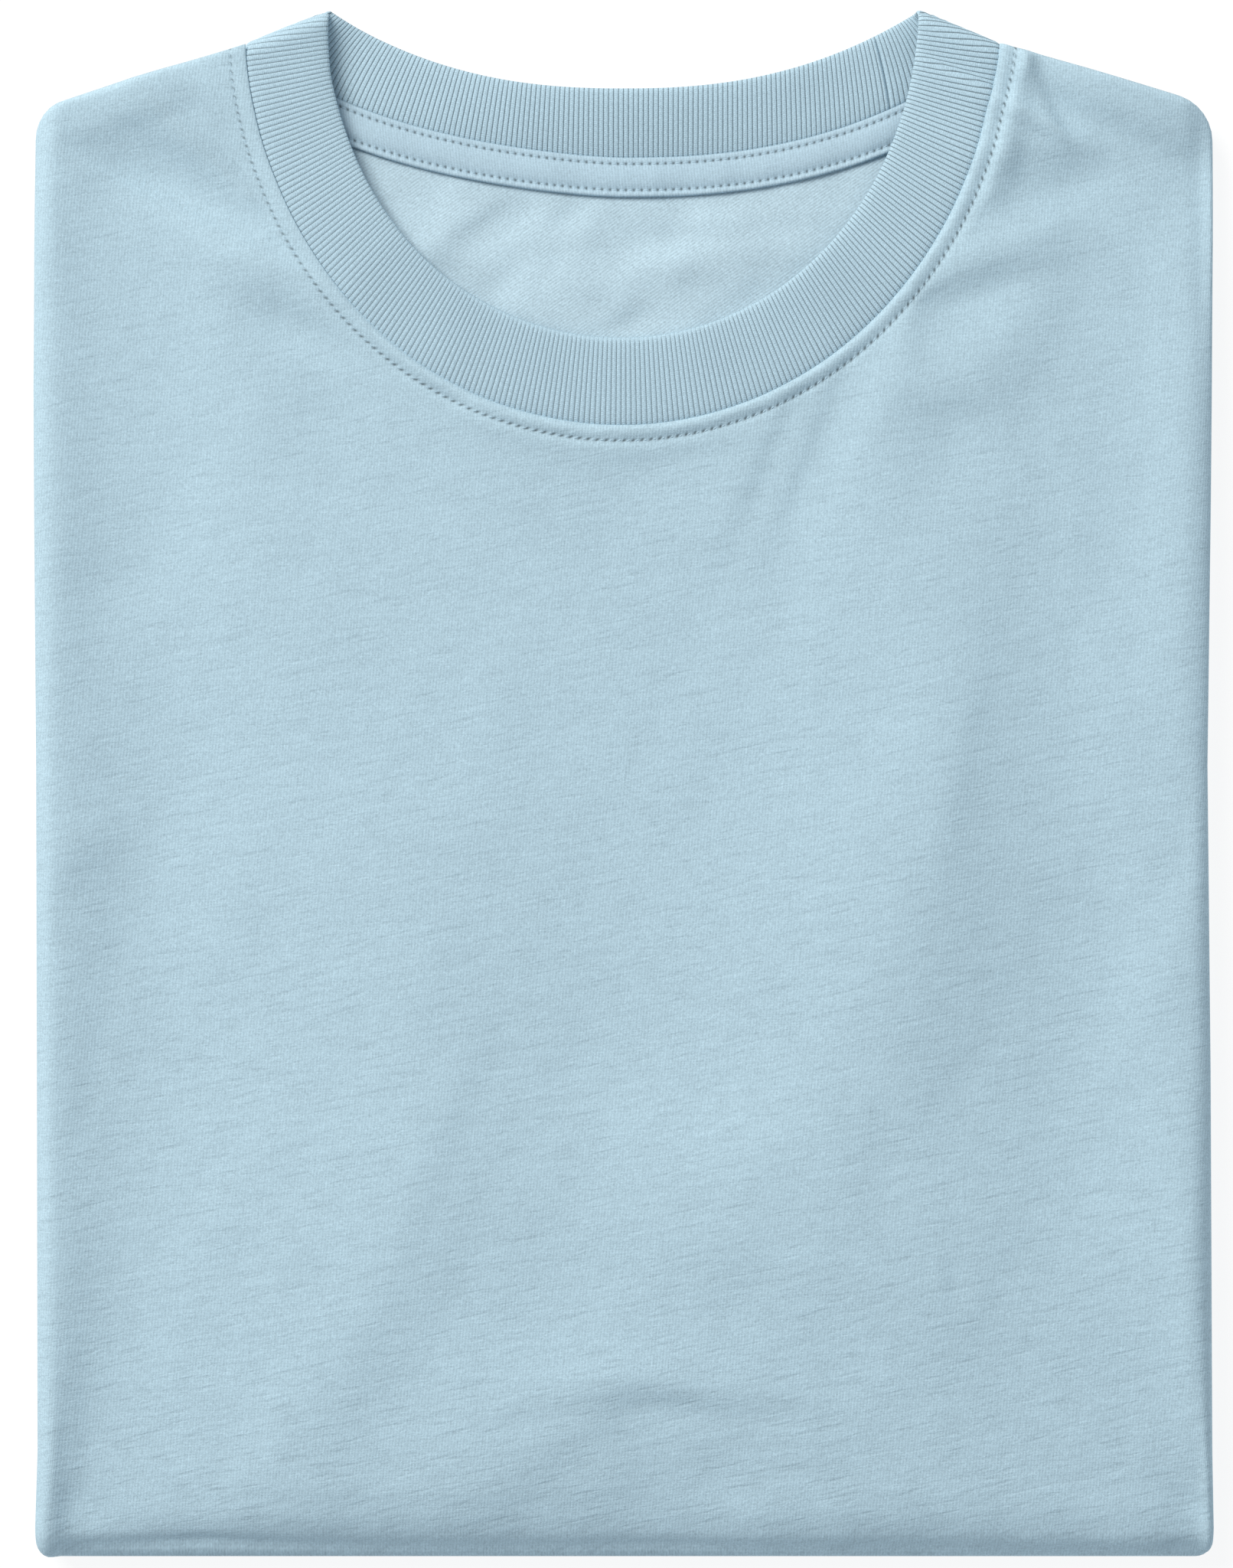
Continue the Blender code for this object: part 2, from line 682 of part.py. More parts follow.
def build():
    clear_scene()
    shirt = new_collection(CLOTH_NAME)
    cutters = new_collection("cutters")
    cutters.hide_render = True
    jersey = cloth_material("jersey", 180, 205, 219, 0.85)
    inside = cloth_material("jersey_inside", 187, 211, 224, 0.88)
    rib = cloth_material("rib_knit", 166, 193, 208, 0.88)
    tape = cloth_material("neck_tape", 181, 204, 217, 0.85)

    front = sheet("front_panel", front_rows(), shirt, JERSEY)
    cut(front, neck_cutter(SEAM_GAP, cutters))
    back = sheet("back_panel", back_rows(), shirt, JERSEY)
    layers = loft("folded_layers", core_rings(), shirt)
    cut(layers, neck_cutter(CORE_NECK_MARGIN, cutters))
    left = sheet("sleeve_left", sleeve_rows(-1), shirt, JERSEY)
    right = sheet("sleeve_right", sleeve_rows(1), shirt, JERSEY)
    collar = loft("collar", collar_rings(), shirt, closed_along=True)
    neck_tape = sheet("neck_tape", tape_rows(), shirt, TAPE)

    for thing, material in (
        (front, jersey),
        (back, inside),
        (layers, inside),
        (left, jersey),
        (right, jersey),
        (collar, rib),
        (neck_tape, tape),
    ):
        thing.data.materials.append(material)


build()
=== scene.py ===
import math

import bpy
import numpy as np
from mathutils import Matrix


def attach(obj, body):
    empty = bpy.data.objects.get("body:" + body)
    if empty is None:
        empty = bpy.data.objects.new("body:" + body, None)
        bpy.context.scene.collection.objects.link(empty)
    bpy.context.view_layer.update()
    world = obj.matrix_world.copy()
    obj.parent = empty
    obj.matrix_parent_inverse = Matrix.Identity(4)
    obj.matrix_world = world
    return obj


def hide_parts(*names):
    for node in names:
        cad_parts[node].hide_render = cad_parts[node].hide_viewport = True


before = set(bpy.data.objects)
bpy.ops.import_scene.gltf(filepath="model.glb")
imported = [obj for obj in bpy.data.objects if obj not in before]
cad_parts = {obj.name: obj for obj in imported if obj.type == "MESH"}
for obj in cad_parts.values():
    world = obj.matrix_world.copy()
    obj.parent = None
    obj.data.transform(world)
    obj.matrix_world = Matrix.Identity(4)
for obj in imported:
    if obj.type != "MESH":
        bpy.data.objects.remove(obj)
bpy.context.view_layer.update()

MM = 0.001

# The packet: an upper half, the bottom fold, and a lower half that ends at the hem
FOLD_Y = -0.2247              # outermost line of the bottom fold
ARM = 0.0086                  # thickness of either half
ARMS_GAP = 0.0008
HEM_Y = 0.0800
RETURN_X = 0.1050             # where the strips that are folded in at the sides end
SIDE_ROLL = 0.0090            # how far in the round of a side's fold begins
CORNER_ROLL = 0.0048          # the same at the bottom corners
CORNER_REACH = 0.0500
SIDES = (
    # y, left, right
    (-0.2160, 0.1706, 0.1710),
    (-0.1940, 0.1699, 0.1706),
    (-0.0830, 0.1701, 0.1701),
    (0.0050, 0.1703, 0.1692),
    (0.1150, 0.1712, 0.1706),
    (0.1820, 0.1710, 0.1712),
)
DROPS = (
    # from y, to y, how much the upper half sinks there
    (0.0700, 0.1500, 0.0020),
    (0.1500, 0.2150, 0.0050),
)
SHOULDER_X = 0.1100           # ends of the neck seam
SHOULDER_Y = 0.2154
LEFT_SLOPE = 0.325
RIGHT_SLOPE = 0.305
LEFT_CORNER = 0.0120
RIGHT_CORNER = 0.0140
EDGE_LEVEL = 0.0019           # level of the front along its top edge
TOP_ROUND = 0.0040            # inwards of the neck seam's end, where the top edge begins to be round
TURNED_ROUND = 0.0144         # inwards of the outline, the same for the strips that are folded in

# Thickness of the cloths
JERSEY = 0.0010
OUTER_JERSEY = 0.0009         # front and sleeves
RIB = 0.0022
TAPE = 0.0006
THICKNESS_CLAMP = 0.6         # most that a thickness may be where the cloth bends, in widths of a face

# Collar
CURVE_SAMPLES = 1201
FRONT_SEAM_DEPTH = 0.1115
FRONT_SEAM_POWER = 1.93
PEAK_X = 0.0857
PEAK_Y = 0.2249
FRONT_EDGE_DEPTH = 0.0958
BACK_SEAM_Y = 0.1823
BACK_EDGE_Y = 0.2020
BACK_SEAM_POWERS = (
    # at the centre, at the shoulder
    (1.65, 2.50),             # left
    (2.40, 2.40),             # right
)
BACK_EDGE_POWER = 2.35
BACK_LEAN_POWERS = (1.9, 3.2)   # how late the ribs of the back half begin to lean, left and right
FRONT_SHIFTS = (
    # place along the collar's front from the left shoulder, shift outwards in mm of the seam, of the edge
    (0.0000, -0.50, 0.00),
    (0.0625, -1.05, 1.10),
    (0.1250, -1.10, 1.10),
    (0.1875, -0.55, 1.35),
    (0.2500, 0.30, 1.50),
    (0.3125, 0.90, 1.20),
    (0.3750, 0.85, 0.70),
    (0.4375, 0.35, 0.30),
    (0.5000, 0.00, 0.00),
    (0.5625, 0.00, 0.00),
    (0.6250, -0.10, 0.00),
    (0.6875, -0.50, 0.00),
    (0.7500, -1.25, -0.05),
    (0.8125, -2.10, -0.20),
    (0.8750, -2.75, -0.35),
    (0.9375, -2.95, -0.30),
    (1.0000, -0.90, 0.00),
)
FRONT_RIBS = 224
BACK_RIBS = 144
RIB_PITCH = 0.00142           # along the middle of the band
RIB_COURSE = 0.00062
FRONT_LEVEL = 0.0031
EDGE_SHARE = 0.30             # share of the front's folds that the free edge follows
FRONT_LEANS = (
    # place along the collar's front, how much lower the free edge lies than the seam
    (0.00, 0.0003),
    (0.25, 0.0007),
    (0.50, 0.0009),
    (0.75, -0.0008),
    (1.00, 0.0001),
)
BACK_SEAM_LEVELS = (-0.0037, -0.0045)   # at the centre, at the shoulders
LEFT_END_RISE = 0.0034        # how much the seam rises to the fold at the left shoulder
LEFT_END_REACH = 0.10         # over this share of the way to the centre
BACK_RISE = 0.0045            # from the back's seam up to its free edge, at the centre
BACK_RISE_POWER = 2.4         # how soon the rise is lost towards the shoulders
BACK_ARCH = 0.0007
FRONT_CORNER_DROP = 0.0008    # how much lower the front begins at the shoulders than the collar
NECK_GAP = 0.0001             # between the front and the collar
LEFT_GAP = 0.0003             # and so much more on the left
BACK_SEAM_GAP = 0.0009
RIB_COLUMNS = 8               # columns of the mesh in each rib
SLOPE_STEP = 0.02             # share of the band's width, to either side, that gives its slope
RIB_RELIEF = 0.00017          # from a rib's crest to the groove beside it
RIB_CROWN = 0.12              # roundness of a crest, as a share of that
RIB_SINK = 0.55               # and how much of it lies below the cloth's mean face
GROOVE = 0.11                 # half width of a groove, as a share of a rib
GROOVE_SHADE_WIDTH = 0.100           # the same, for the line of painted shade along its bottom
GROOVE_SHADE_END = (0.0250, 0.0016, 0.35)   # where the line of painted shade fades at the edge, over how much, to which share
RIB_SLANT = 0.0068            # how far the ribs slide along the loop across the band, at the shoulders
SLANT_REACH = 0.0420
JOIN_RIB = 18                 # rib of the back half, from the right shoulder, where the strip is joined
JOIN_DEPTH = 0.0006
JOIN_WIDTH = 0.28             # in ribs

# Inside of the back
BACK_START_Y = 0.0880
BACK_HALF_WIDTH = 0.1600
UNDER_FRONT = 0.0017          # level of its face under the front
AT_SHOULDER = 0.0006          # and at the shoulders' edge
SHOULDER_BLEND = (0.0010, 0.0120)
SHOULDER_GAP = 0.0003         # from the shoulders' edge
NECK_SIDES = (0.96, 1.04)     # where the neck opening ends, as shares of the way to the shoulder
SAG_BLEND = (0.60, 1.00)
SEAM_BLEND = 0.0090
BACK_SAG = (
    # y, level of the inner face along the centre line
    (0.1040, 0.0013),
    (0.1280, 0.0005),
    (0.1500, -0.0016),
    (0.1690, -0.0030),
    (0.1810, -0.0033),
)
TAPE_OVERLAP = 0.0007         # of the tape over the edge of the back
TAPE_REACH = 0.90             # of the way to the shoulders

# Hidden layers
CORE_HALF_WIDTH = 0.1674
CORE_LEVEL = 0.0029
CORE_SIDE_SHARE = 0.22
CORE_SIDE_POWER = 8
CORE_FACE_GAP = 0.0006
CORE_UNDER_BACK = 0.0002
CORE_STEP_Y = 0.0850
CORE_STEP = 0.0006
CORE_EDGES = 4
CORE_LIP = 0.0012
CORE_INSET = 0.0030
CORE_NECK_MARGIN = 0.0060
CORE_SHOULDER_INSET = 0.0150
CORE_RELIEF = 0.9             # share of the front's folds that the layers below it follow
CORE_STEPS = (13, 8, 59)      # along the lower half, the turn and the upper half
CORE_SHOULDER_STEPS = 11
LIP_STEPS = 6
SHARP_ANGLE = 55              # degrees

# Sleeves
SLEEVE_FOLD_X = 0.1650
CUFF_X = 0.0600
ARMHOLE_X = 0.0950
SLEEVE_FROM_Y = 0.0820
SLEEVE_TO_Y = 0.1580
SLEEVE_ARM = 0.0031           # thickness of either half
SLEEVE_GAP = 0.0004
SLEEVE_RUNS = (14, 12, 26)    # steps before, round and behind its fold
SLEEVE_SECTION = (18, 10, 18)   # steps across it: one face, the edge, the other face

# Sewing
TOPSTITCH = 0.00475           # from the neck seam to its row of stitches
TOPSTITCH_PITCH = 0.00243     # measured along the seam
LEFT_PADDING = 0.15           # height of the seam's padding on the left, as a share of the rest
PADDING_BLEND = (0.0550, 0.1100)
LEFT_HOLES = 0.75             # strength of the needle holes' painted shade and dip on the left, as a share of the rest
RIGHT_BLEND = (0.1500, 0.2300)   # along the seam, from the front's middle to its right
SEAM_LIP = (0.0006, 0.00020)  # width and depth of the seam's rounded lip
SEAM_BUMPS = (
    # distance from the seam, half width, height on the left and in the middle, height on the right
    (0.0000, 0.0008, -0.00080, -0.00080),
    (0.0019, 0.0019, 0.00052, 0.00052),
    (0.0073, 0.0016, 0.00012, -0.00010),
)
STITCH_DIP = (0.0011, 0.00046)   # half width and depth of the dip along the stitches
PULL = 0.15                   # how unevenly the thread pulls
PULL_PITCH = 0.0173           # and over which length along the seam
TOPSTITCH_SLANT = 0.30
HOLE_WIDTH = 0.00048          # half width of the row of needle holes, with their painted shade and dip
HOLE_SLANT = 0.8
HOLE_SHARPNESS = 2.0
HOLE_DEPTH = 0.00012
TAPE_ROWS = (0.0020, 0.0097)  # from the tape's upper edge to its two rows
TAPE_PITCH = 0.00231
# the tape's needle holes: half width and sharpness of their painted shade
TAPE_HOLE_WIDTH = 0.00045
TAPE_HOLE_SHARPNESS = 2.5
TAPE_DENTS = (
    # distance from the tape's upper edge, half width, height at a needle hole, height between two
    (0.0020, 0.0006, -0.00018, 0.0),
    (0.0097, 0.0008, -0.00022, 0.0),
    (0.0107, 0.0005, 0.0, 0.00016),
)
HEM_ROWS = (0.0170, 0.0200)   # from the hem's edge, and from a cuff's edge
HEM_PITCH = 0.0026
BESIDE = {"neck": 0.0005, "tape": 0.0004, "hem": 0.0006, "cuff": 0.0005}   # to the lines beside a row
ROW_ENDS = 0.0015             # distance of a row's ends from the shoulders
ROW_INSET = 0.0004
HEM_REACH = 1.45              # how far round the sides the hem's rows go, in the terms of front_surface
CUFF_START = 0.0010
THREAD_RADIUS = 0.00021
STITCH_SHARE = 0.66           # share of the pitch that a stitch covers
SHALLOW = 0.35                # share of its radius that a thread lies down in the cloth
STITCH_SIDES = 6
STITCH_RINGS = (
    # place along half a stitch, share of the thread's radius
    (-1.0, 0.0),
    (-0.86, 0.62),
    (-0.45, 1.0),
    (0.0, 1.12),
    (0.45, 1.0),
    (0.86, 0.62),
    (1.0, 0.0),
)

# Folds of the front, in millimetres. Each has its own softness on its left and on its right, seen from
# its first point to its second. Troughs are negative.
FRONT_FOLDS = (
    # from x, from y, to x, to y, left width, right width, height
    (85, 210, 142, 212, 40, 40, 1.7),
    (-125, 201, -160, 212, 24, 8, 2.6),
    (-119, 197, -151, 212, 19, 6, 2.6),
    (167, 195, 118, 211, 22, 2.3, 2.6),
    (126, 188, 115, 212, 13, 1.8, 2.6),
    (135, 185, 99, 204, 7, 1.6, 2.6),
    (162, 179, 98, 208, 32, 6, -3.2),
    (-168, 179, -132, 207, 22, 12, 2.4),
    (131, 189, 100, 197, 9, 6, 1.0),
    (105, 168, 117, 212, 2.2, 1.9, 1.6),
    (107, 171, 116, 208, 20, 3.4, 2.6),
    (109, 167, 144, 212, 14, 13, 1.2),
    (130, 184, 104, 195, 2.4, 10, -1.0),
    (-168, 180, -122, 197, 2.8, 4.7, -0.48),
    (-120, 178, -145, 199, 5.4, 10, 2.6),
    (-166, 163, -165, 210, 31, 1.6, 1.4),
    (-106, 168, -145, 206, 2.5, 2.4, 1.5),
    (-159, 179, -172, 190, 1.6, 11, 1.7),
    (104, 160, 116, 206, 2.6, 1.6, -0.91),
    (110, 179, 110, 186, 23, 5.1, 2.6),
    (158, 162, 171, 189, 10, 22, -2.7),
    (124, 169, 149, 176, 9, 34, -2.4),
    (-88, 149, -158, 184, 2.9, 22, -3.2),
    (169, 119, 168, 197, 2.5, 40, -2.4),
    (163, 122, 172, 189, 11, 7, -1.3),
    (93, 147, 130, 164, 7, 4.2, 1.3),
    (78, 132, 112, 177, 13, 3.2, 0.84),
    (81, 133, 84, 164, 23, 4.9, 2.5),
    (82, 136, 130, 149, 4.4, 16, -2.0),
    (101, 115, 127, 157, 10, 12, 1.9),
    (-87, 128, -109, 142, 10, 3.3, -2.7),
    (-102, 71, -117, 172, 21, 20, 2.2),
    (64, 75, 95, 155, 9, 31, 2.1),
    (-150, 91, -130, 137, 14, 36, -0.88),
    (150, -2, 122, 212, 12, 10, -0.89),
    (102, 103, 85, 104, 25, 8, -2.4),
    (-108, 73, -75, 131, 13, 12, -0.78),
    (8, 95, -54, 109, 9, 3.7, 1.1),
    (-146, -12, -153, 211, 17, 40, -2.7),
    (-36, 64, -121, 132, 40, 21, -3.2),
    (148, 36, 150, 159, 13, 9, -1.7),
    (49, 78, 63, 114, 3.5, 40, -1.7),
    (37, 77, 52, 113, 4.5, 40, -1.8),
    (1, 91, 32, 95, 3.6, 32, -0.85),
    (-150, 48, -123, 98, 13, 16, -1.3),
    (129, 23, 139, 110, 29, 9, -1.1),
    (-133, 57, -161, 59, 6, 6, -0.59),
    (-33, -25, -5, 119, 35, 40, -3.1),
    (31, -9, 36, 63, 40, 25, -2.5),
    (-166, -178, -172, 212, 40, 28, 2.1),
    (97, -23, 110, 35, 6, 11, -0.79),
    (-76, -24, -16, 2, 16, 14, 0.68),
    (-166, -25, -148, -10, 7, 8, 0.85),
    (-146, -66, -129, 24, 17, 18, -1.9),
    (90, -66, 62, 12, 10, 40, 1.4),
    (-53, -143, -26, 79, 22, 34, 1.7),
    (-166, -100, -166, 31, 37, 1.6, 0.76),
    (164, -81, 163, 5, 16, 1.6, -1.1),
    (77, -131, 100, 48, 22, 17, 1.7),
    (77, -67, 55, -16, 26, 10, 1.6),
    (106, -98, 87, 13, 17, 14, 1.0),
    (160, -214, 114, 124, 20, 14, -2.0),
    (85, -78, 109, -20, 17, 19, -2.0),
    (146, -86, 172, -25, 13, 40, 2.6),
    (28, -76, 43, -44, 5.5, 9, 0.46),
    (85, -111, 129, -28, 7, 8, -0.45),
    (-12, -90, -9, -63, 11, 15, -1.3),
    (-64, -144, -68, -16, 32, 22, 2.4),
    (-152, -106, -141, -55, 4.2, 12, 0.67),
    (95, -122, 61, -60, 29, 13, 1.7),
    (-154, -144, -140, -52, 20, 31, -3.2),
    (-166, -140, -165, -72, 8, 1.6, 0.58),
    (79, -123, 77, -90, 14, 40, -3.2),
    (24, -115, 53, -99, 14, 17, 1.2),
    (13, -163, 80, -58, 37, 31, 2.5),
    (164, -134, 164, -101, 40, 1.6, -1.2),
    (172, -121, 76, -115, 33, 33, 2.2),
    (-143, -153, -95, -98, 5, 10, 0.35),
    (-74, -182, -35, -73, 5.8, 21, -0.54),
    (134, -212, 123, -60, 30, 23, -3.2),
    (101, -171, 124, -116, 8, 20, -1.1),
    (-162, -214, -163, -74, 31, 13, 1.7),
    (95, -149, 94, -140, 1.6, 4, -0.88),
    (15, -161, 39, -148, 14, 27, -2.2),
    (-6, -173, -20, -140, 21, 38, -3.2),
    (-170, -179, -56, -168, 29, 14, 0.51),
    (-162, -208, -162, -141, 2.5, 40, -2.0),
    (16, -179, 4, -176, 40, 2.8, -1.5),
    (-97, -213, -32, -144, 22, 28, -3.2),
    (-131, -214, -95, -147, 38, 17, -3.2),
    (-36, -184, -5, -179, 1.6, 15, -0.76),
    (-155, -214, -153, -151, 8, 22, -2.9),
    (39, -184, 0, -181, 40, 5.1, -3.2),
    (167, -214, 165, -158, 24, 1.6, -3.2),
    (172, -205, 29, -168, 40, 27, -3.2),
    (154, -209, 172, -165, 21, 9, 2.3),
    (171, -214, 161, -171, 17, 1.8, -1.2),
    (-36, -214, 7, -179, 7, 9, -0.87),
    (49, -213, 75, -188, 5.8, 4.3, -0.39),
    (-106, -213, -153, -197, 7, 19, -1.5),
    (-9, -206, -93, -206, 1.6, 15, 0.95),
    (46, -206, 110, -206, 19, 2, 0.70),
    (-106, -214, 78, -203, 20, 40, -3.2),
    (-161, -214, -158, -205, 4.7, 40, -2.9),
    (172, -214, 159, -205, 12, 3.1, -2.4),
    (26, -213, -11, -209, 8, 5.5, -1.0),
    (172, -214, -61, -214, 27, 19, -3.2),
    (-85, -214, -141, -214, 12, 9, -2.1),
)

# Where the front begins to fall towards the bottom fold, in millimetres
BOTTOM_FALLS = (
    # x, distance above the turn where it begins, how far the turn then lies inside a round one
    (-170, 8, 0.5),
    (-152, 6, 0.5),
    (-136, 6, 2.0),
    (-120, 6, 3.2),
    (-104, 6, 4.2),
    (-88, 6, 4.3),
    (-72, 7, 4.0),
    (-56, 7, 4.0),
    (-40, 8, 4.0),
    (-24, 8, 3.5),
    (-8, 8, 3.2),
    (8, 8, 2.6),
    (24, 8, 2.6),
    (40, 7, 2.8),
    (56, 8, 3.2),
    (72, 7, 3.5),
    (88, 7, 4.0),
    (104, 6, 3.2),
    (120, 8, 2.3),
    (136, 8, 2.2),
    (152, 9, 1.4),
    (170, 9, 1.4),
)
BOTTOM_LIFTS = (
    # x, how much the front rises before it falls, in millimetres
    (-170, 0.8),
    (-100, 6.0),
    (0, 8.0),
    (60, 7.6),
    (170, 7.4),
)
LIFT_REACH = (0.0100, 0.1500)   # above the turn, from the full rise to none
FOLDS_END = 0.0090            # above the turn, from where the folds level out towards it
FALL_END = -0.30              # where the fall ends in the turn, as a share of its length
FALL_POWER = 1.3              # how gently the fall begins
TURN_FADE = 0.3               # share of the rest of the turn over which the last relief goes
NECK_HOLD = 0.60              # share of a fold's height that is left at the neck seam
NECK_HOLD_REACH = (1.0, 1.18)

# Troughs of the underside, in millimetres, on the part that is folded up behind
UNDER_FOLDS = (
    # from x, from y, to x, to y, left width, right width, height
    (-138, -205, -96, -120, 7, 9, -0.5),
    (-92, -60, -60, 40, 9, 9, -0.4),
    (20, -212, 34, -150, 6, 8, -0.5),
    (122, -190, 88, -96, 9, 8, -0.6),
    (150, -20, 118, 52, 8, 7, -0.4),
    (-20, -20, 22, 44, 10, 10, -0.3),
    (-160, 10, -150, 66, 5, 5, -0.4),
)
UNDER_REACH = 0.0100          # beyond the turn, where they begin
UNDER_RIPPLES = 0.4           # share of the cloth's slow unevenness that is left there

# Troughs of the sleeves, in millimetres: x is the distance from the sleeve's fold
SLEEVE_FOLDS = (
    # from x, from y, to x, to y, left width, right width, height
    (14, 96, 46, 128, 5, 5, -0.3),
    (40, 150, 78, 112, 6, 5, -0.3),
    (62, 90, 88, 104, 5, 5, -0.25),
)

# Folds of the back, seen inside the neck, in millimetres
BACK_FOLDS = (
    # from x, from y, to x, to y, left width, right width, height
    (-62, 150, -44, 166, 6, 7, 1.2),
    (-46, 158, -32, 168, 3, 6, -1.05),
    (-34, 160, -26, 168, 3, 3, -0.6),
    (-22, 161, -12, 168, 3, 4, -0.6),
    (-30, 138, -4, 150, 7, 8, 0.9),
    (-6, 154, 22, 160, 6, 4, -1.05),
    (2, 146, 40, 156, 6, 7, 1.2),
    (18, 162, 50, 166, 4, 4, 0.6),
    (-8, 130, 8, 136, 3, 4, -0.75),
    (26, 134, 46, 146, 5, 5, -0.75),
    (-44, 140, -30, 150, 4, 6, -0.6),
    (-20, 118, 30, 122, 8, 8, 0.6),
)

# Slow unevenness of the cloth
RIPPLES = (
    # waves per metre along x, along y, phase, height in millimetres
    (21, 9, 0.4, 0.10),
    (-13, 17, 2.1, 0.09),
    (34, -12, 4.4, 0.05),
    (9, 39, 1.3, 0.05),
    (-47, 23, 5.2, 0.03),
    (52, 31, 3.0, 0.025),
)

# Meshes
CHEST_Y = 0.0750              # below it, the columns run straight down
SHOULDER_STEPS = (0.0, 0.0004, 0.0010, 0.0018, 0.0030, 0.0046, 0.0066, 0.0090)
SEAM_STEPS = (
    0.0, 0.00015, 0.0004, 0.0007, 0.0010, 0.0014, 0.0019, 0.0025, 0.0031, 0.0037, 0.0042,
    0.0045, 0.00475, 0.0050, 0.0053, 0.0058, 0.0065, 0.0075, 0.0087, 0.0100,
)
HEM_STEPS = (0.0, 0.0005, 0.0015, 0.0040, 0.0080, 0.0120, 0.0150, 0.0170, 0.0185, 0.0200, 0.0225)
FAN_SIDE_COLUMNS = 50
FAN_CHEST_COLUMNS = 158
FAN_ROWS = 24
FAN_TURN = 0.0300             # over this length, the fan's lines turn from the shoulder's edge
FAN_CORNER = 0.0450           # and this much, round the corners of the chest
FAN_PULL = 0.35
EDGE_FADE = 0.0800            # down the sides, over which the rows leave the slope of the top edge
ROLL_STEPS = 12
RETURN_STEPS = 6
UPPER_ROWS = 116
TURN_ROWS = 14
LOWER_ROWS = 26
BACK_COLUMNS = 200
BACK_ROWS = 74
TAPE_COLUMNS = 400
CORE_COLUMNS = 56
NECK_STEPS = 96
WELD = 2e-6                   # points closer than this are joined
STITCH_WELD = 1e-7
FAN_SAMPLES = 81
HEM_SAMPLES = 901
CUFF_SAMPLES = 301

BAND_SECTION = (
    # share of the band's width from the seam, share of half its thickness, share of the ribs' relief
    (-0.045, -0.62, 0.3),
    (-0.052, -0.10, 0.3),
    (-0.030, 0.35, 0.6),
    (0.005, 0.78, 1.0),
    (0.050, 1.00, 1.0),
    (0.200, 1.08, 1.0),
    (0.350, 1.13, 1.0),
    (0.500, 1.15, 1.0),
    (0.650, 1.12, 1.0),
    (0.800, 1.03, 1.0),
    (0.900, 0.88, 0.9),
    (0.960, 0.66, 0.8),
    (0.990, 0.34, 0.6),
    (1.000, -0.10, 0.5),
    (0.986, -0.58, 0.5),
    (0.930, -0.90, 0.8),
    (0.750, -1.00, 1.0),
    (0.500, -1.00, 1.0),
    (0.250, -1.00, 1.0),
    (0.030, -0.95, 0.8),
)

TAPE_SECTION = (
    # distance from the tape's upper edge, height of its face over the back, both in millimetres
    (0.0, 0.42),
    (0.4, 0.80),
    (1.0, 1.06),
    (1.7, 1.02),
    (2.0, 0.94),
    (2.3, 1.02),
    (2.9, 1.22),
    (3.8, 1.44),
    (5.0, 1.58),
    (6.2, 1.60),
    (7.4, 1.50),
    (8.4, 1.28),
    (9.2, 0.98),
    (9.7, 0.80),
    (10.1, 0.92),
    (10.6, 1.28),
    (11.0, 1.44),
    (11.4, 1.36),
    (11.7, 1.10),
    (11.8, 0.72),
)

# Colours, in sRGB from 0 to 255
JERSEY_COLOUR = (176, 202, 215)
INSIDE_COLOUR = (179, 203, 215)
RIB_COLOUR = (176, 203, 217)
TAPE_COLOUR = (172, 197, 211)
THREAD_COLOUR = (173, 199, 213)
HOLE_SHADE = 0.28             # painted shade in a needle's hole: how dark it is against the cloth beside it
GROOVE_SHADE = 0.34           # painted shade at the bottom of a groove between two ribs, in the same way
SPECULAR = 0.06
SHEEN_ROUGHNESS = 0.6

# Knit
WALE = 0.000885               # pitch of the jersey's wales
COURSE = 0.00072
WALE_TILT = math.radians(6)
KNIT_DRIFT = 0.00035          # how far the wales wander
KNIT_DRIFT_CELLS = (26, 20)   # of the noise that they wander by, for each metre
KNIT_LEAN = 2.6               # how much the stitches lean to either side of a wale
SLUB_FADE = 1.6               # how much weaker the slubs get, for each metre up the shirt
CREASE_FLOOR = 0.12
INSIDE_SLANT = 0.61           # of the inside's grain, in radians
INSIDE_PITCH = 0.00082
INSIDE_DRIFT = 0.0004
INSIDE_DRIFT_CELLS = (60, 60)
BRAID_LEAN = 7.0              # how much the stitches of a rib lean to either side
JERSEY_LOOK = (
    # part, share of the brightness, height in mm; and for a noise its cells a metre across and along,
    # its turn in degrees, detail and roughness
    ("wale", 0.042, 0.015),
    ("course", 0.022, 0.006),
    ("slub", 0.060, 0.090, 70, 330, 12, 3.0, 0.7),
    # the creases darken the colour with painted shade, besides their dip
    ("crease", -0.10, -0.110, 85, 600, 12, 1.0, 0.5),
    ("uneven", 0.060, 0.0, 200, 210, 0, 2.0, 0.8),
    ("fine", 0.150, 0.0, 950, 1000, 0, 1.0, 0.8),
    ("grain", 0.180, 0.012, 2300, 2100, 0, 2.0, 0.5),
)
INSIDE_LOOK = (
    # as above
    ("rows", 0.085, 0.010),
    ("grain", 0.20, 0.016, 1500, 1900, 35, 2.0, 0.5),
    ("fine", 0.16, 0.0, 800, 1000, 35, 1.0, 0.8),
    ("patch", 0.07, 0.0, 70, 110, 20, 2.0, 0.5),
)
RIB_LOOK = (
    # as above
    ("course", 0.05, 0.018),
    ("grain", 0.20, 0.014, 2200, 2200, 0, 2.0, 0.5),
    ("fine", 0.10, 0.0, 1100, 1100, 0, 1.0, 0.8),
    ("patch", 0.03, 0.0, 50, 60, 0, 2.0, 0.5),
)
TAPE_LOOK = (
    # as above
    ("wale", 0.055, 0.012),
    ("course", 0.020, 0.006),
    ("grain", 0.16, 0.010, 2300, 2100, 0, 2.0, 0.5),
    ("fine", 0.12, 0.0, 950, 1000, 0, 1.0, 0.8),
    ("patch", 0.03, 0.0, 70, 90, 0, 2.0, 0.5),
)
PLY = (2600.0, 0.08, 0.02)    # the thread's: scale, share of the brightness, height in mm

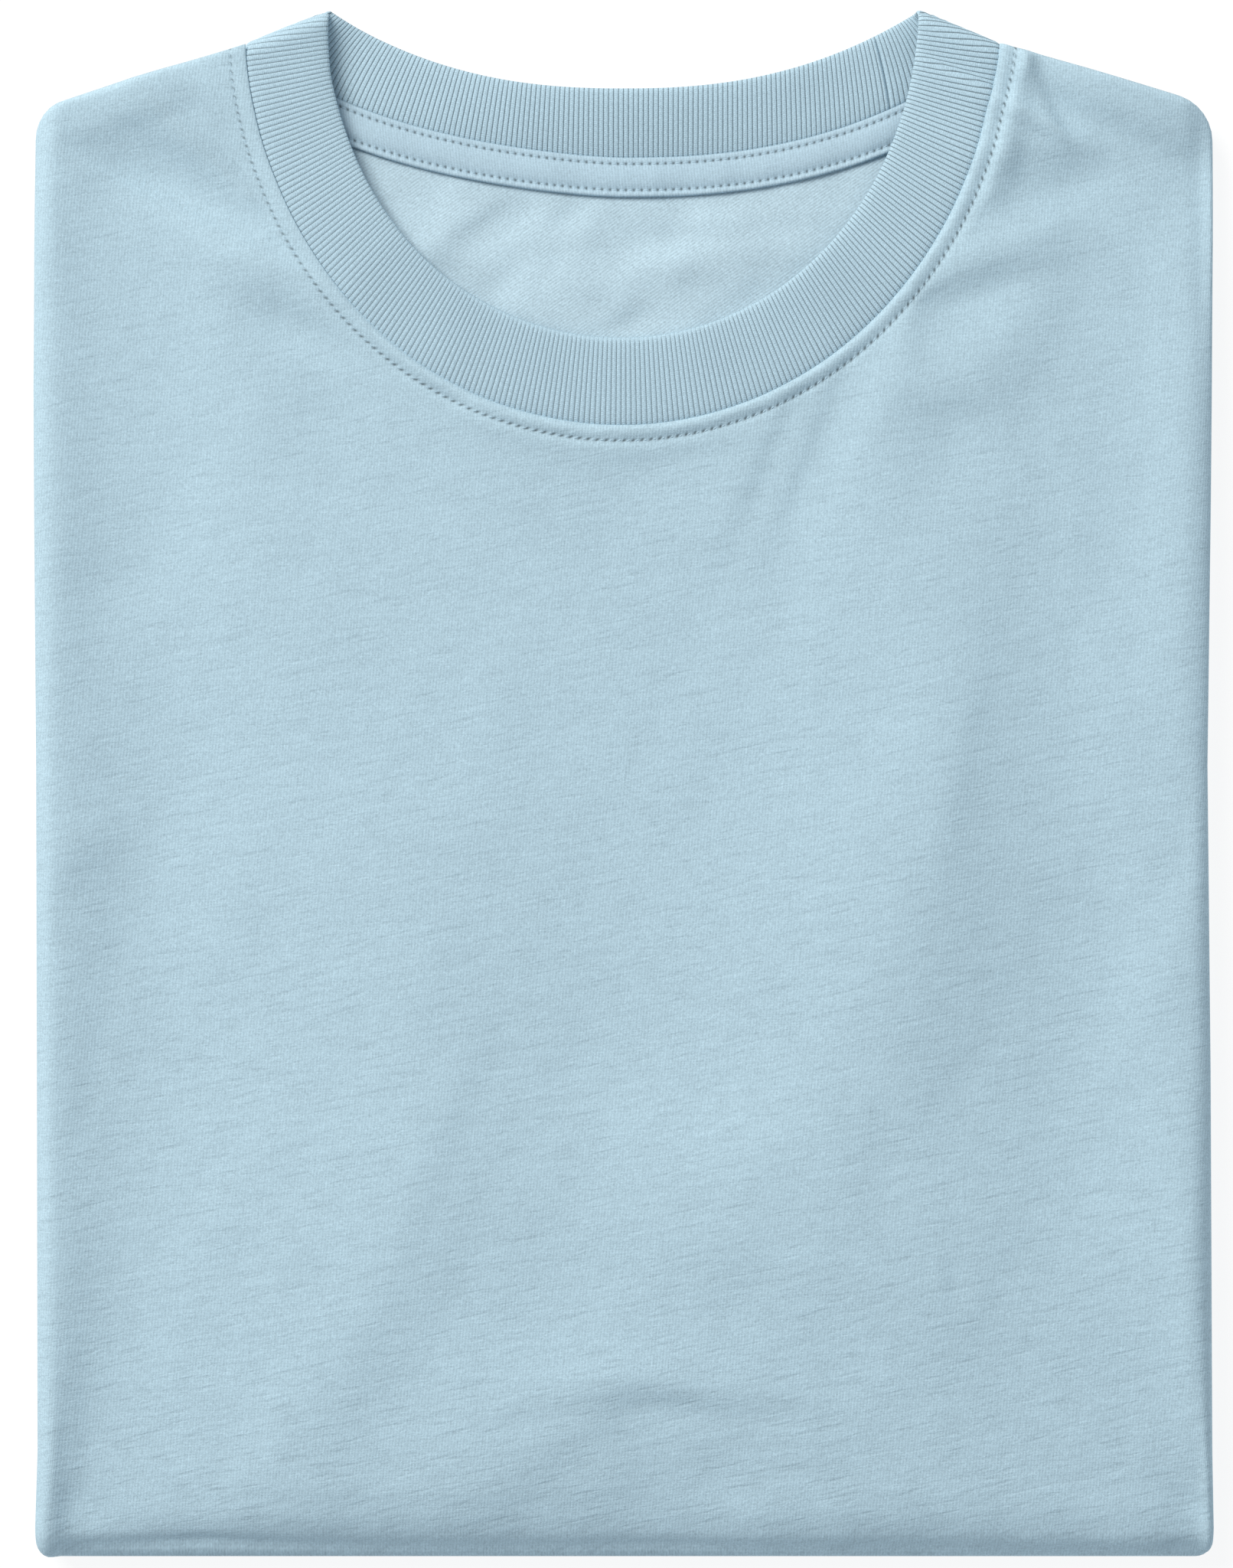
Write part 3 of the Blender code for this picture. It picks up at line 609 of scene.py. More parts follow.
# Light and camera
VIEW_HEIGHT = 0.4530          # how much of the surface the photo takes in, from top to bottom
VIEW_CENTRE = (-0.0021, -0.0003)
VIEW_DISTANCE = 1.5           # above the packet
SENSOR = 36.0
TOP_Z = 0.0180
KEY_POWER = 200.0
KEY_COLOUR = (1.06, 1.0, 0.94)
KEY_PLACE = (-2.32, 2.62, 2.98)
KEY_SIZE = 2.6
AMBIENT = 0.46
AMBIENT_COLOUR = (0.93, 1.0, 1.07)
FLOOR_GLOW = 0.85
FLOOR_SHADE = 0.18            # share of the light that the floor sends back besides its own glow
FLOOR_REACH = 4.0
FLOOR_GAP = 0.0002            # so that the floor and the packet's underside don't share a plane


def smooth(start, end, value):
    """Rise softly from 0 at start to 1 at end."""
    share = np.clip((value - start) / (end - start), 0.0, 1.0)
    return share * share * (3 - 2 * share)


def mix(first, second, share):
    """Between two values, a share of the way from the first to the second."""
    return first + (second - first) * share


def bell(value, middle, width):
    """1 at a middle value, and softly less around it."""
    return np.exp(-((value - middle) / width) ** 2)


def unit(vectors):
    """Vectors of length 1 in the same directions."""
    return vectors / np.linalg.norm(vectors, axis=-1)[..., None]


def column(table, value, index=1, scale=1.0):
    """A column of a table between its rows, at values of the first column."""
    rows = np.array(table) * scale
    return np.interp(value, rows[:, 0], rows[:, index])


def points_at(wanted, at, line):
    """Points at wanted distances along a line, whose own points lie at the distances in at."""
    return np.stack([np.interp(wanted, at, part) for part in line.T], axis=-1)


def lengths_along(points):
    """Distance along a line of points, at each of them."""
    steps = np.linalg.norm(np.diff(points, axis=0), axis=-1)
    return np.concatenate((np.zeros((1,) + steps.shape[1:]), np.cumsum(steps, axis=0)))


def in_steps(stops, counts):
    """Numbers from stop to stop, with so many even steps in each stretch."""
    parts = [np.linspace(*ends, count + 1)[1:] for *ends, count in zip(stops, stops[1:], counts)]
    return np.concatenate(([stops[0]], *parts))


def hairpin(run, level, arm, gap):
    """Distance from the fold, and height, of places in a packet that is folded once.

    run is 0 where the upper arm meets the turn, and falls round the turn and along the lower arm.
    level is the distance from the arm's middle, towards the packet's outside.
    """
    radius = (arm + gap) / 2
    centre = radius + arm / 2
    turn = math.pi * radius
    angle = math.pi / 2 + np.clip(run, -turn, 0.0) / radius
    reach = radius + level
    straight = np.maximum(run, 0.0) - np.minimum(run + turn, 0.0)
    return centre - reach * np.cos(angle) + straight, centre + reach * np.sin(angle)


TURN_RADIUS = (ARM + ARMS_GAP) / 2
TURN_Y = FOLD_Y + TURN_RADIUS + ARM / 2
TURN_LENGTH = math.pi * TURN_RADIUS
HEM_RUN = TURN_Y - HEM_Y - TURN_LENGTH

SLEEVE_RADIUS = (SLEEVE_ARM + SLEEVE_GAP) / 2
SLEEVE_CENTRE_X = SLEEVE_FOLD_X - SLEEVE_RADIUS - SLEEVE_ARM / 2
SLEEVE_TURN = math.pi * SLEEVE_RADIUS
SLEEVE_FACE = SLEEVE_TO_Y - SLEEVE_ARM / 2 - SLEEVE_FROM_Y
SLEEVE_BEND = math.pi * SLEEVE_ARM / 2
CUFF_RUN = -SLEEVE_TURN - (SLEEVE_CENTRE_X - CUFF_X)


def drop(y):
    """How far the upper arm lies below its full height."""
    return sum(depth * smooth(start, end, y) for start, end, depth in DROPS)


def place(x, run, level):
    """World points of places in the packet."""
    x, run, level = np.broadcast_arrays(x, run, level)
    distance, height = hairpin(run, level, ARM, ARMS_GAP)
    y = FOLD_Y + distance
    height = height - np.where(run > 0, drop(y), 0.0)
    return np.stack((x, y, height), axis=-1)


def half_width(side, y):
    """Distance from the centre line to the outline, on the left (-1) or the right (1)."""
    return np.where(np.asarray(side) < 0, column(SIDES, y, 1), column(SIDES, y, 2))


def top_edge(x, behind=False):
    """Top edge of the shirt at x, round the corner and along the strip that is folded behind."""
    x = np.asarray(x, dtype=float)
    slope = np.where(x < 0, LEFT_SLOPE, RIGHT_SLOPE)
    radius = np.where(x < 0, LEFT_CORNER, RIGHT_CORNER)
    half = half_width(x, SHOULDER_Y)
    centre_x = half - radius
    line_at_centre = SHOULDER_Y - slope * (centre_x - SHOULDER_X)
    centre_y = line_at_centre - radius * np.hypot(1, slope)
    offset = np.minimum(np.abs(x) - centre_x, radius)
    line = SHOULDER_Y - slope * np.maximum(np.abs(x) - SHOULDER_X, 0.0)
    arc = centre_y + np.sqrt(np.maximum(radius ** 2 - offset ** 2, 0.0))
    edge = np.where(offset > radius * np.sin(np.arctan(slope)), arc, line)
    line_at_side = SHOULDER_Y - slope * (half - SHOULDER_X)
    turned_in = np.minimum(edge, line_at_side - slope * (half - np.abs(x)))
    return np.where(behind, turned_in, edge)


def folds(table, x, y):
    """Height of the soft folds in a table at places on the cloth."""
    height = np.zeros(np.broadcast(x, y).shape)
    for row in table:
        x1, y1, x2, y2, left, right, rise = (value * MM for value in row)
        length = math.hypot(x2 - x1, y2 - y1)
        along = ((x - x1) * (x2 - x1) + (y - y1) * (y2 - y1)) / length
        across = ((x - x1) * (y2 - y1) - (y - y1) * (x2 - x1)) / length
        taper = min(left + right, length)
        ends = smooth(-taper, taper, along) * (1 - smooth(length - taper, length + taper, along))
        width = np.where(across < 0, left, right)
        height += rise * ends * np.exp(-(across / width) ** 2)
    return height


def neck_level(x, y):
    """1 on the front neck seam, less inside it and more outside."""
    across = np.abs(x) / SHOULDER_X
    down = np.maximum(SHOULDER_Y - y, 0.0) / FRONT_SEAM_DEPTH
    return across ** FRONT_SEAM_POWER + down ** FRONT_SEAM_POWER


def rounded_top(x, y, behind=False):
    """Share of its full level that the front keeps beside the top edge."""
    depth = ARM / 2
    round_over = depth - EDGE_LEVEL
    distance = np.maximum(top_edge(x, behind) - y, 0.0)
    lost = 1 - np.sqrt(1 - np.maximum(1 - distance / round_over, 0.0) ** 2)
    start = np.where(behind, half_width(x, SHOULDER_Y) - TURNED_ROUND, SHOULDER_X - TOP_ROUND)
    return 1 - lost * smooth(start, start + SIDE_ROLL, np.abs(x)) * round_over / depth


def bottom_fall(x, run):
    """How far the front lies inside a round turn, near the bottom fold."""
    start = column(BOTTOM_FALLS, x, 1, MM)
    depth = column(BOTTOM_FALLS, x, 2, MM)
    return depth * (1 - smooth(FALL_END * TURN_LENGTH, start, run)) ** FALL_POWER


def bottom_lift(x, run):
    """How far the front rises above its folds, before it falls towards the bottom fold."""
    return column(BOTTOM_LIFTS, x, 1, MM) * (1 - smooth(*LIFT_REACH, run))


def in_turn(run):
    """Share of the relief that is left at a place in the bottom fold: none at its outermost line."""
    outermost = -0.5 * TURN_LENGTH
    back = np.clip((run - outermost) / (FALL_END * TURN_LENGTH - outermost), 0.0, 1.0)
    return np.sin(math.pi / 2 * back) * smooth(0.0, TURN_FADE, back)


def ripples(x, y):
    """Slow unevenness that no cloth is without."""
    turn = 2 * math.pi
    return sum(
        rise * MM * np.sin(turn * (along_x * x + along_y * y) + phase)
        for along_x, along_y, phase, rise in RIPPLES
    )


def front_relief(x, run):
    """Height of the folds of the front, and of the layers just below it."""
    rest = np.clip(run / FOLDS_END, 0.0, 1.0)
    y = TURN_Y + FOLDS_END * (0.5 + rest ** 3 - 0.5 * rest ** 4) + np.maximum(run - FOLDS_END, 0.0)
    soft = folds(FRONT_FOLDS, x, y) + ripples(x, y)
    held = mix(NECK_HOLD, 1.0, smooth(*NECK_HOLD_REACH, neck_level(x, y)))
    return (soft * held + bottom_lift(x, run) - bottom_fall(x, run)) * in_turn(run)


def back_neckline(share):
    """Height up the shirt of the back neck seam, at a share of the way out to the right shoulder."""
    out = np.minimum(np.abs(share), 1.0)
    left, right = BACK_SEAM_POWERS
    power = np.where(share < 0, mix(*left, out), mix(*right, out))
    return BACK_SEAM_Y + (SHOULDER_Y - BACK_SEAM_Y) * out ** power


def back_seam_level(share):
    """Level of the back neck seam, at the same share."""
    centre, shoulder = BACK_SEAM_LEVELS
    rise = LEFT_END_RISE * bell(np.maximum(share, -1.0), -1.0, LEFT_END_REACH)
    return mix(centre, shoulder, np.minimum(np.abs(share), 1.0) ** 3) + rise


def back_level(x, y):
    """Level of the back's inner face: close under the front, and sagging inside the neck."""
    share = x / SHOULDER_X
    inside_neck = 1 - smooth(*NECK_SIDES, np.abs(share))
    near_edge = (1 - smooth(*SHOULDER_BLEND, top_edge(x) - y)) * (1 - inside_neck)
    under = mix(UNDER_FRONT, AT_SHOULDER, near_edge)
    sag = column(BACK_SAG, y)
    open_neck = 1 - smooth(*SAG_BLEND, neck_level(x, y))
    level = mix(under + front_relief(x, y - TURN_Y) * rounded_top(x, y) ** 2, sag, open_neck)
    below_seam = np.maximum(back_neckline(share) - y, 0.0)
    near_seam = np.exp(-(below_seam / SEAM_BLEND) ** 2) * inside_neck
    level = mix(level, back_seam_level(share) + JERSEY / 2, near_seam)
    loose = open_neck * (1 - near_seam)
    return level + (folds(BACK_FOLDS, x, y) + ripples(2 * x, 2 * y)) * loose


def front_curve(along, across):
    """Places on the collar's front half, from the left shoulder (0) to the right, and from seam to edge."""
    width = mix(SHOULDER_X, PEAK_X, across)
    depth = mix(FRONT_SEAM_DEPTH, FRONT_EDGE_DEPTH, across)
    centre = mix(SHOULDER_Y, PEAK_Y, across)
    power = 2 / mix(FRONT_SEAM_POWER, 2.0, across)
    cosine = np.cos(math.pi * along)
    sine = np.abs(np.sin(math.pi * along))
    x = -np.sign(cosine) * np.abs(cosine) ** power * width
    y = -sine ** power * depth
    outward_x, outward_y = x / width ** 2, y / depth ** 2
    seam_shift, edge_shift = column(FRONT_SHIFTS, along, 1), column(FRONT_SHIFTS, along, 2)
    shift = mix(seam_shift, edge_shift, across) * MM / np.hypot(outward_x, outward_y)
    return x + shift * outward_x, centre + y + shift * outward_y


def back_curve(along, across):
    """Places on the collar's back half, from the right shoulder (0) to the left."""
    share = 1 - 2 * along
    corner = SHOULDER_X + MM * mix(FRONT_SHIFTS[0][1], FRONT_SHIFTS[-1][1], (share + 1) / 2)
    lean = np.sign(share) * np.abs(share) ** np.where(share < 0, *BACK_LEAN_POWERS)
    edge_x = corner * share - (corner - PEAK_X) * lean
    edge_y = BACK_EDGE_Y + (PEAK_Y - BACK_EDGE_Y) * np.abs(edge_x / PEAK_X) ** BACK_EDGE_POWER
    return mix(corner * share, edge_x, across), mix(back_neckline(share), edge_y, across)


def seam_outward(x, y):
    """Directions that lead from the front neck seam out over the cloth."""
    return unit(np.stack((x / SHOULDER_X ** 2, (y - SHOULDER_Y) / FRONT_SEAM_DEPTH ** 2), axis=-1))


def front_seam(margin):
    """The front's edge along the neck, from the left shoulder on: places and outward directions."""
    x, y = front_curve(np.linspace(0.0, 1.0, CURVE_SAMPLES), 0.0)
    outward = seam_outward(x, y)
    places = np.stack((x, y), axis=-1)
    left = 1 - smooth(*PADDING_BLEND, lengths_along(places))
    places = places + outward * (margin + LEFT_GAP * left)[:, None]
    corner = FRONT_CORNER_DROP * np.exp(-(SHOULDER_Y - places[:, 1]) / FRONT_CORNER_DROP / 4)
    places[:, 1] = np.minimum(places[:, 1], top_edge(places[:, 0]) - corner)
    return places, outward


def roll_at(y):
    """How far in the round of a side's fold begins, at a height up the shirt."""
    return mix(CORNER_ROLL, SIDE_ROLL, smooth(TURN_Y, TURN_Y + CORNER_REACH, y))


ROLL_ANGLES = np.linspace(0.0, math.pi, 81)
ROLL_WIDTHS = np.where(ROLL_ANGLES > math.pi / 2, ARM / 2, SIDE_ROLL)
ROLL_LENGTHS = lengths_along(np.stack(
    (ROLL_WIDTHS * np.sin(ROLL_ANGLES), ARM / 2 * np.cos(ROLL_ANGLES)), axis=-1,
))


def seam_relief(distance, along):
    """Height of the front beside its neck seam: a rounded lip, then the dip that the stitches pull."""
    full = mix(LEFT_PADDING, 1.0, smooth(*PADDING_BLEND, along))
    right = smooth(*RIGHT_BLEND, along)
    dip_width, dip_depth = STITCH_DIP
    pull = 1 - PULL + PULL * np.cos(2 * math.pi * along / PULL_PITCH)
    height = -dip_depth * bell(distance, TOPSTITCH, dip_width) * pull
    for middle, width, left_rise, right_rise in SEAM_BUMPS:
        height = height + mix(left_rise, right_rise, right) * bell(distance, middle, width)
    lip_width, lip_depth = SEAM_LIP
    lip = np.maximum(1 - distance / lip_width, 0.0)
    return full * height - lip_depth * (1 - np.sqrt(1 - lip ** 2))


def beside_side(reach, half, roll):
    """Distance from the centre line of a place on the front, and the angle that it has gone round the side.

    reach is 1 where the side's roll begins, 2 where it ends, and 3 at the turned-in edge.
    """
    angle = math.pi * np.clip(reach - 1, 0.0, 1.0)
    width = np.where(angle > math.pi / 2, ARM / 2, roll)
    x = np.where(reach <= 1, (half - roll) * reach, half - width + width * np.sin(angle))
    return np.where(reach > 2, mix(half - ARM / 2, RETURN_X, reach - 2), x), angle


def share_across(x, y):
    """Share of the way from the centre line to where the side's roll begins, negative on the left."""
    return x / (half_width(x, y) - roll_at(y))


def front_surface(across, run, from_seam=None, along_seam=None):
    """World points of places on the front, and where they are on the flat cloth.

    across is 0 on the centre line, then as reach in beside_side, and negative on the left.
    """
    across, run = np.broadcast_arrays(across, run)
    side = np.where(across < 0, -1.0, 1.0)
    reach = np.abs(across)
    cloth_y = TURN_Y + run
    y = np.where(run > 0, cloth_y, np.maximum(TURN_Y, TURN_Y - TURN_LENGTH - run))
    half = half_width(side, y)
    roll = roll_at(y)
    depth = ARM / 2
    x, angle = beside_side(reach, half, roll)
    x = side * x
    level = depth * np.cos(angle) * np.where(run > 0, rounded_top(x, y, angle > math.pi / 2), 1.0)
    on_face = np.maximum(level / depth, 0.0) ** 2
    lower = smooth(-TURN_LENGTH, -TURN_LENGTH - UNDER_REACH, run)
    under = folds(UNDER_FOLDS, x, y) + np.minimum(ripples(x, y), 0.0) * UNDER_RIPPLES
    soft = front_relief(x, run) + under * lower
    level = level + soft * on_face
    if from_seam is not None:
        level = level + seam_relief(from_seam, along_seam) * on_face

    flat_x = np.where(reach <= 1, np.abs(x), half - roll + np.interp(angle, ROLL_ANGLES, ROLL_LENGTHS))
    flat_x = side * (flat_x + np.maximum(reach - 2, 0.0) * (half - depth - RETURN_X))
    return place(x, run, level), np.stack((flat_x, cloth_y), axis=-1)


def grid_faces(rows, columns, first=0, around=False, along=False):
    """Faces of a grid of points, closed round its rows or along its columns if asked."""
    index = first + np.arange(rows * columns).reshape(rows, columns)
    if around:
        index = np.concatenate((index, index[:, :1]), axis=1)
    if along:
        index = np.concatenate((index, index[:1]), axis=0)
    corners = (index[:-1, :-1], index[1:, :-1], index[1:, 1:], index[:-1, 1:])
    return np.stack(corners, axis=-1).reshape(-1, 4)


def new_mesh(name, points, faces, material=None, maps=None):
    """A mesh, with each map as a value of every point."""
    mesh = bpy.data.meshes.new(name)
    mesh.from_pydata(points, [], faces)
    corners = np.empty(len(mesh.loops), dtype=np.int32)
    mesh.loops.foreach_get("vertex_index", corners)
    for map_name, values in (maps or {}).items():
        layer = mesh.uv_layers.new(name=map_name)
        layer.data.foreach_set("uv", values[corners].astype(np.float32).ravel())
    if material:
        mesh.materials.append(material)
    return mesh


def new_object(name, content):
    """A mesh, light or camera, put into the scene."""
    thing = bpy.data.objects.new(name, content)
    bpy.context.scene.collection.objects.link(thing)
    return thing


def new_piece(name, points, faces, maps, material, nodes=()):
    """A mesh on the frame's one body."""
    mesh = new_mesh(name, points.tolist(), faces, material, maps)
    mesh.shade_smooth()
    thing = new_object(name, mesh)
    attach(thing, "root")
    if nodes:
        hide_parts(*nodes)
    return thing


def joined_points(points, step):
    """Which points to keep where some lie closer than a step, and the kept one that each becomes."""
    keys = np.round(points / step).astype(np.int64)
    _, kept, joined = np.unique(keys, axis=0, return_index=True, return_inverse=True)
    return kept, joined.reshape(-1)


def thicken(thing, thickness):
    """Give a sheet its thickness, on the side that its normals leave."""
    solidify = thing.modifiers.new("cloth", "SOLIDIFY")
    solidify.thickness = thickness
    solidify.offset = -1
    solidify.use_even_offset = True
    solidify.thickness_clamp = THICKNESS_CLAMP
    return thing


def welded(patches):
    """Several grids of points and maps as one mesh, joined where their points meet."""
    points, faces, maps, first = [], [], {}, 0
    for patch_points, patch_maps in patches:
        rows, columns = patch_points.shape[:2]
        points.append(patch_points.reshape(-1, 3))
        faces.append(grid_faces(rows, columns, first))
        for name, values in patch_maps.items():
            maps.setdefault(name, []).append(np.broadcast_to(values, (rows, columns, 2)).reshape(-1, 2))
        first += rows * columns
    points = np.concatenate(points)
    kept, joined = joined_points(points, WELD)
    faces = joined[np.concatenate(faces)].tolist()
    return points[kept], faces, {name: np.concatenate(parts)[kept] for name, parts in maps.items()}


def fan():
    """Places from the neck seam out to the side rolls and down to the chest.

    Gives x, y, the distance from the seam and the place along it, in rows outwards and columns round it.
    """
    crowd = np.array(SHOULDER_STEPS)
    seam, outward = front_seam(NECK_GAP)
    seam_at = lengths_along(seam)
    columns = 2 * FAN_SIDE_COLUMNS + FAN_CHEST_COLUMNS + 1
    between = np.linspace(crowd[-1], seam_at[-1] - crowd[-1], columns - 2 * len(crowd) + 2)[1:-1]
    inner_at = np.concatenate((crowd, between, seam_at[-1] - crowd[::-1]))
    inner = points_at(inner_at, seam_at, seam)
    normal = points_at(inner_at, seam_at, outward)

    ends = []
    for side, slope in ((-1, LEFT_SLOPE), (1, RIGHT_SLOPE)):
        roll_x = half_width(side, SHOULDER_Y) - SIDE_ROLL
        top = float(top_edge(side * roll_x))
        down = np.linspace(crowd[-1], top - CHEST_Y, FAN_SIDE_COLUMNS + 2 - len(crowd))[1:]
        down = np.concatenate((crowd, down))
        y = top - down
        x = side * (half_width(side, y) - roll_at(y))
        tilt = np.arctan(slope) * (1 - smooth(0.0, FAN_TURN, down))
        tilt = tilt + np.radians(45) * smooth(FAN_CORNER, 0.0, y - CHEST_Y)
        direction = np.stack((-side * np.cos(tilt), np.sin(tilt)), axis=-1)
        ends.append((np.stack((x, y), axis=-1), direction))
    (left, left_in), (right, right_in) = ends
    chest_x = np.linspace(left[-1, 0], right[-1, 0], FAN_CHEST_COLUMNS + 1)[1:-1]
    from_corner = np.minimum(chest_x - left[-1, 0], right[-1, 0] - chest_x)
    tilt = np.radians(mix(90, 45, smooth(FAN_CORNER, 0.0, from_corner)))
    towards = np.where(chest_x < 0, 1.0, -1.0)
    chest_in = np.stack((towards * np.cos(tilt), np.sin(tilt)), axis=-1)
    chest = np.stack((chest_x, np.full_like(chest_x, CHEST_Y)), axis=-1)
    outer = np.concatenate((left, chest, right[::-1]))
    inward = np.concatenate((left_in, chest_in, right_in[::-1]))

    to_shoulder = np.minimum(inner_at, seam_at[-1] - inner_at)
    start = mix(unit(outer - inner), normal, smooth(0.0, FAN_TURN, to_shoulder)[:, None])
    span = np.linalg.norm(outer - inner, axis=-1)[:, None]
    t = np.linspace(0.0, 1.0, FAN_SAMPLES)[:, None, None]
    line = (
        (1 - t) ** 3 * inner
        + 3 * (1 - t) ** 2 * t * (inner + FAN_PULL * span * start)
        + 3 * (1 - t) * t ** 2 * (outer + FAN_PULL * span * inward)
        + t ** 3 * outer
    )
    line_at = lengths_along(line)
    steps = np.array(SEAM_STEPS)
    places, distance = [], []
    for i in range(columns):
        distance.append(np.concatenate((steps, np.linspace(steps[-1], line_at[-1, i], FAN_ROWS + 1)[1:])))
        places.append(points_at(distance[-1], line_at[:, i], line[:, i]))
    x, y = np.transpose(places)
    return x, y, np.transpose(distance), np.broadcast_to(inner_at, x.shape)


def front_patches():
    """The grids that make up the front, which share the points along their borders."""
    x, y, distance, along = fan()
    across = share_across(x, y)
    last = FAN_SIDE_COLUMNS
    across[-1, :last + 1] = -1.0
    across[-1, -last - 1:] = 1.0
    points, flat = front_surface(across, y - TURN_Y, distance, along)
    seam = np.stack((along, distance), axis=-1)
    patches = [(points, {"flat": flat, "seam": seam})]

    far = np.array((0.0, 1.0))
    outwards = in_steps((1.0, 2.0, 3.0), (ROLL_STEPS, RETURN_STEPS))
    for side, rows_y in ((-1, y[-1, :last + 1]), (1, y[-1, ::-1][:last + 1])):
        share = side * outwards
        if side < 0:
            share = share[::-1]
        column_x, angle = beside_side(np.abs(share), half_width(side, SHOULDER_Y), SIDE_ROLL)
        tops = top_edge(side * column_x, angle > math.pi / 2)
        fade = 1 - smooth(0.0, EDGE_FADE, rows_y[0] - rows_y)
        grid_y = rows_y[:, None] + (tops - rows_y[0])[None, :] * fade[:, None]
        points, flat = front_surface(share[None, :], grid_y - TURN_Y)
        patches.append((points, {"flat": flat, "seam": far}))

    face = across[-1, last:len(across[-1]) - last]
    share = np.concatenate((-outwards[::-1], face[1:-1], outwards))
    hem = HEM_RUN + np.array(HEM_STEPS)[::-1]
    stops = (CHEST_Y - TURN_Y, 0.0, -TURN_LENGTH, hem[0])
    run = np.concatenate((in_steps(stops, (UPPER_ROWS, TURN_ROWS, LOWER_ROWS)), hem[1:]))
    points, flat = front_surface(share[None, :], run[:, None])
    patches.append((points, {"flat": flat, "seam": far}))
    return patches


BAND_FOLD = (FRONT_LEVEL - BACK_SEAM_LEVELS[1]) / 2
BAND_FOLD_LENGTH = math.pi / 2 * BAND_FOLD


def band_samples(curve):
    """Places along half the collar, their distances along its middle, and its length with the folds."""
    samples = np.linspace(0.0, 1.0, CURVE_SAMPLES)
    lengths = lengths_along(np.stack(curve(samples, 0.5), axis=-1))
    return samples, lengths, lengths[-1] - 2 * (RIB / 2 + BAND_FOLD) + 2 * BAND_FOLD_LENGTH


FRONT_SAMPLES = band_samples(front_curve)
BACK_SAMPLES = band_samples(back_curve)


def band_stations(half, run):
    """Place along half the collar's curve, and how far round the shoulder's fold it is, at a distance."""
    samples, lengths, total = half
    run = np.clip(run, 0.0, total)
    to_end = np.minimum(run, total - run)
    folded = np.minimum(to_end / BAND_FOLD, math.pi / 2)
    flat = RIB / 2 + BAND_FOLD * (1 - np.cos(folded)) + np.maximum(to_end - BAND_FOLD_LENGTH, 0.0)
    flat = np.where(run > total / 2, lengths[-1] - flat, flat)
    return np.interp(flat, lengths, samples), np.sin(folded)


def band_line(share):
    """A line round the whole collar, at a share of the way from its seam to its free edge.

    It runs from the left shoulder over the front to the right, and back. At the shoulders the ribs slant.
    """
    front_total, back_total = FRONT_SAMPLES[2], BACK_SAMPLES[2]
    loop = front_total + back_total
    front_run, back_run = (
        (np.arange(RIB_COLUMNS * ribs) + 0.5) / (RIB_COLUMNS * ribs) * total
        for ribs, total in ((FRONT_RIBS, front_total), (BACK_RIBS, back_total))
    )
    run = np.concatenate((front_run, front_total + back_run))
    to_left = np.minimum(run, loop - run)
    to_right = np.abs(run - front_total)
    slant = bell(to_left, 0.0, SLANT_REACH) - bell(to_right, 0.0, SLANT_REACH)
    run = (run + RIB_SLANT * (share - 0.5) * slant) % loop

    apex = (FRONT_LEVEL + BACK_SEAM_LEVELS[1]) / 2
    at, up = band_stations(FRONT_SAMPLES, run)
    seam_x, seam_y = front_curve(at, 0.0)
    seam_height = front_relief(seam_x, seam_y - TURN_Y)
    level = FRONT_LEVEL - share * column(FRONT_LEANS, at) + seam_height * mix(1.0, EDGE_SHARE, share)
    x, y = front_curve(at, share)
    front = place(x, y - TURN_Y, mix(apex, level, up))

    at, up = band_stations(BACK_SAMPLES, run - front_total)
    out = 1 - 2 * at
    arch = BACK_RISE * share + BACK_ARCH * math.sin(math.pi * min(max(share, 0.0), 1.0))
    level = back_seam_level(out) + arch * (1 - out ** 2) ** BACK_RISE_POWER
    x, y = back_curve(at, share)
    back = place(x, y - TURN_Y, mix(apex, level, up))
    return np.where((run < front_total)[:, None], front, back)


def rib_relief(columns):
    """Height of the ribs at each column round the collar, with a deeper groove at the strip's joint."""
    phase = (np.arange(columns) % RIB_COLUMNS + 0.5) / RIB_COLUMNS
    from_groove = np.minimum(phase, 1 - phase)
    crest = 1 - np.exp(-(from_groove / GROOVE) ** 2)
    crown = RIB_CROWN * np.cos(2 * math.pi * (phase - 0.5))
    height = RIB_RELIEF * (crest + crown - RIB_SINK)
    join = (FRONT_RIBS + JOIN_RIB) * RIB_COLUMNS
    from_join = (np.arange(columns) - join) / RIB_COLUMNS
    return height - JOIN_DEPTH * bell(from_join, 0.0, JOIN_WIDTH)


def collar_piece(material):
    """The collar: a closed band of ribs, folded over at both shoulders."""
    columns = RIB_COLUMNS * (FRONT_RIBS + BACK_RIBS)
    relief = rib_relief(columns)
    width = np.linalg.norm(band_line(1.0) - band_line(0.0), axis=1)
    rings, maps = [], []
    for share, thick, ribs in BAND_SECTION:
        line = band_line(share)
        around = np.roll(line, -1, axis=0) - np.roll(line, 1, axis=0)
        normals = unit(np.cross(around, band_line(share + SLOPE_STEP) - band_line(share - SLOPE_STEP)))
        facing = 1.0 if thick > 0 else -1.0
        reach = thick * RIB / 2 + facing * ribs * relief
        rings.append(line + normals * reach[:, None])
        maps.append(np.stack((np.arange(columns) / RIB_COLUMNS, share * width), axis=-1))
    points = np.stack(rings, axis=1)
    faces = grid_faces(columns, len(BAND_SECTION), around=True, along=True).tolist()
    flat = np.stack(maps, axis=1)
    thing = new_piece(
        "collar_rib", points.reshape(-1, 3), faces, {"band": flat.reshape(-1, 2)},
        material, ("collar",),
    )
    return thing


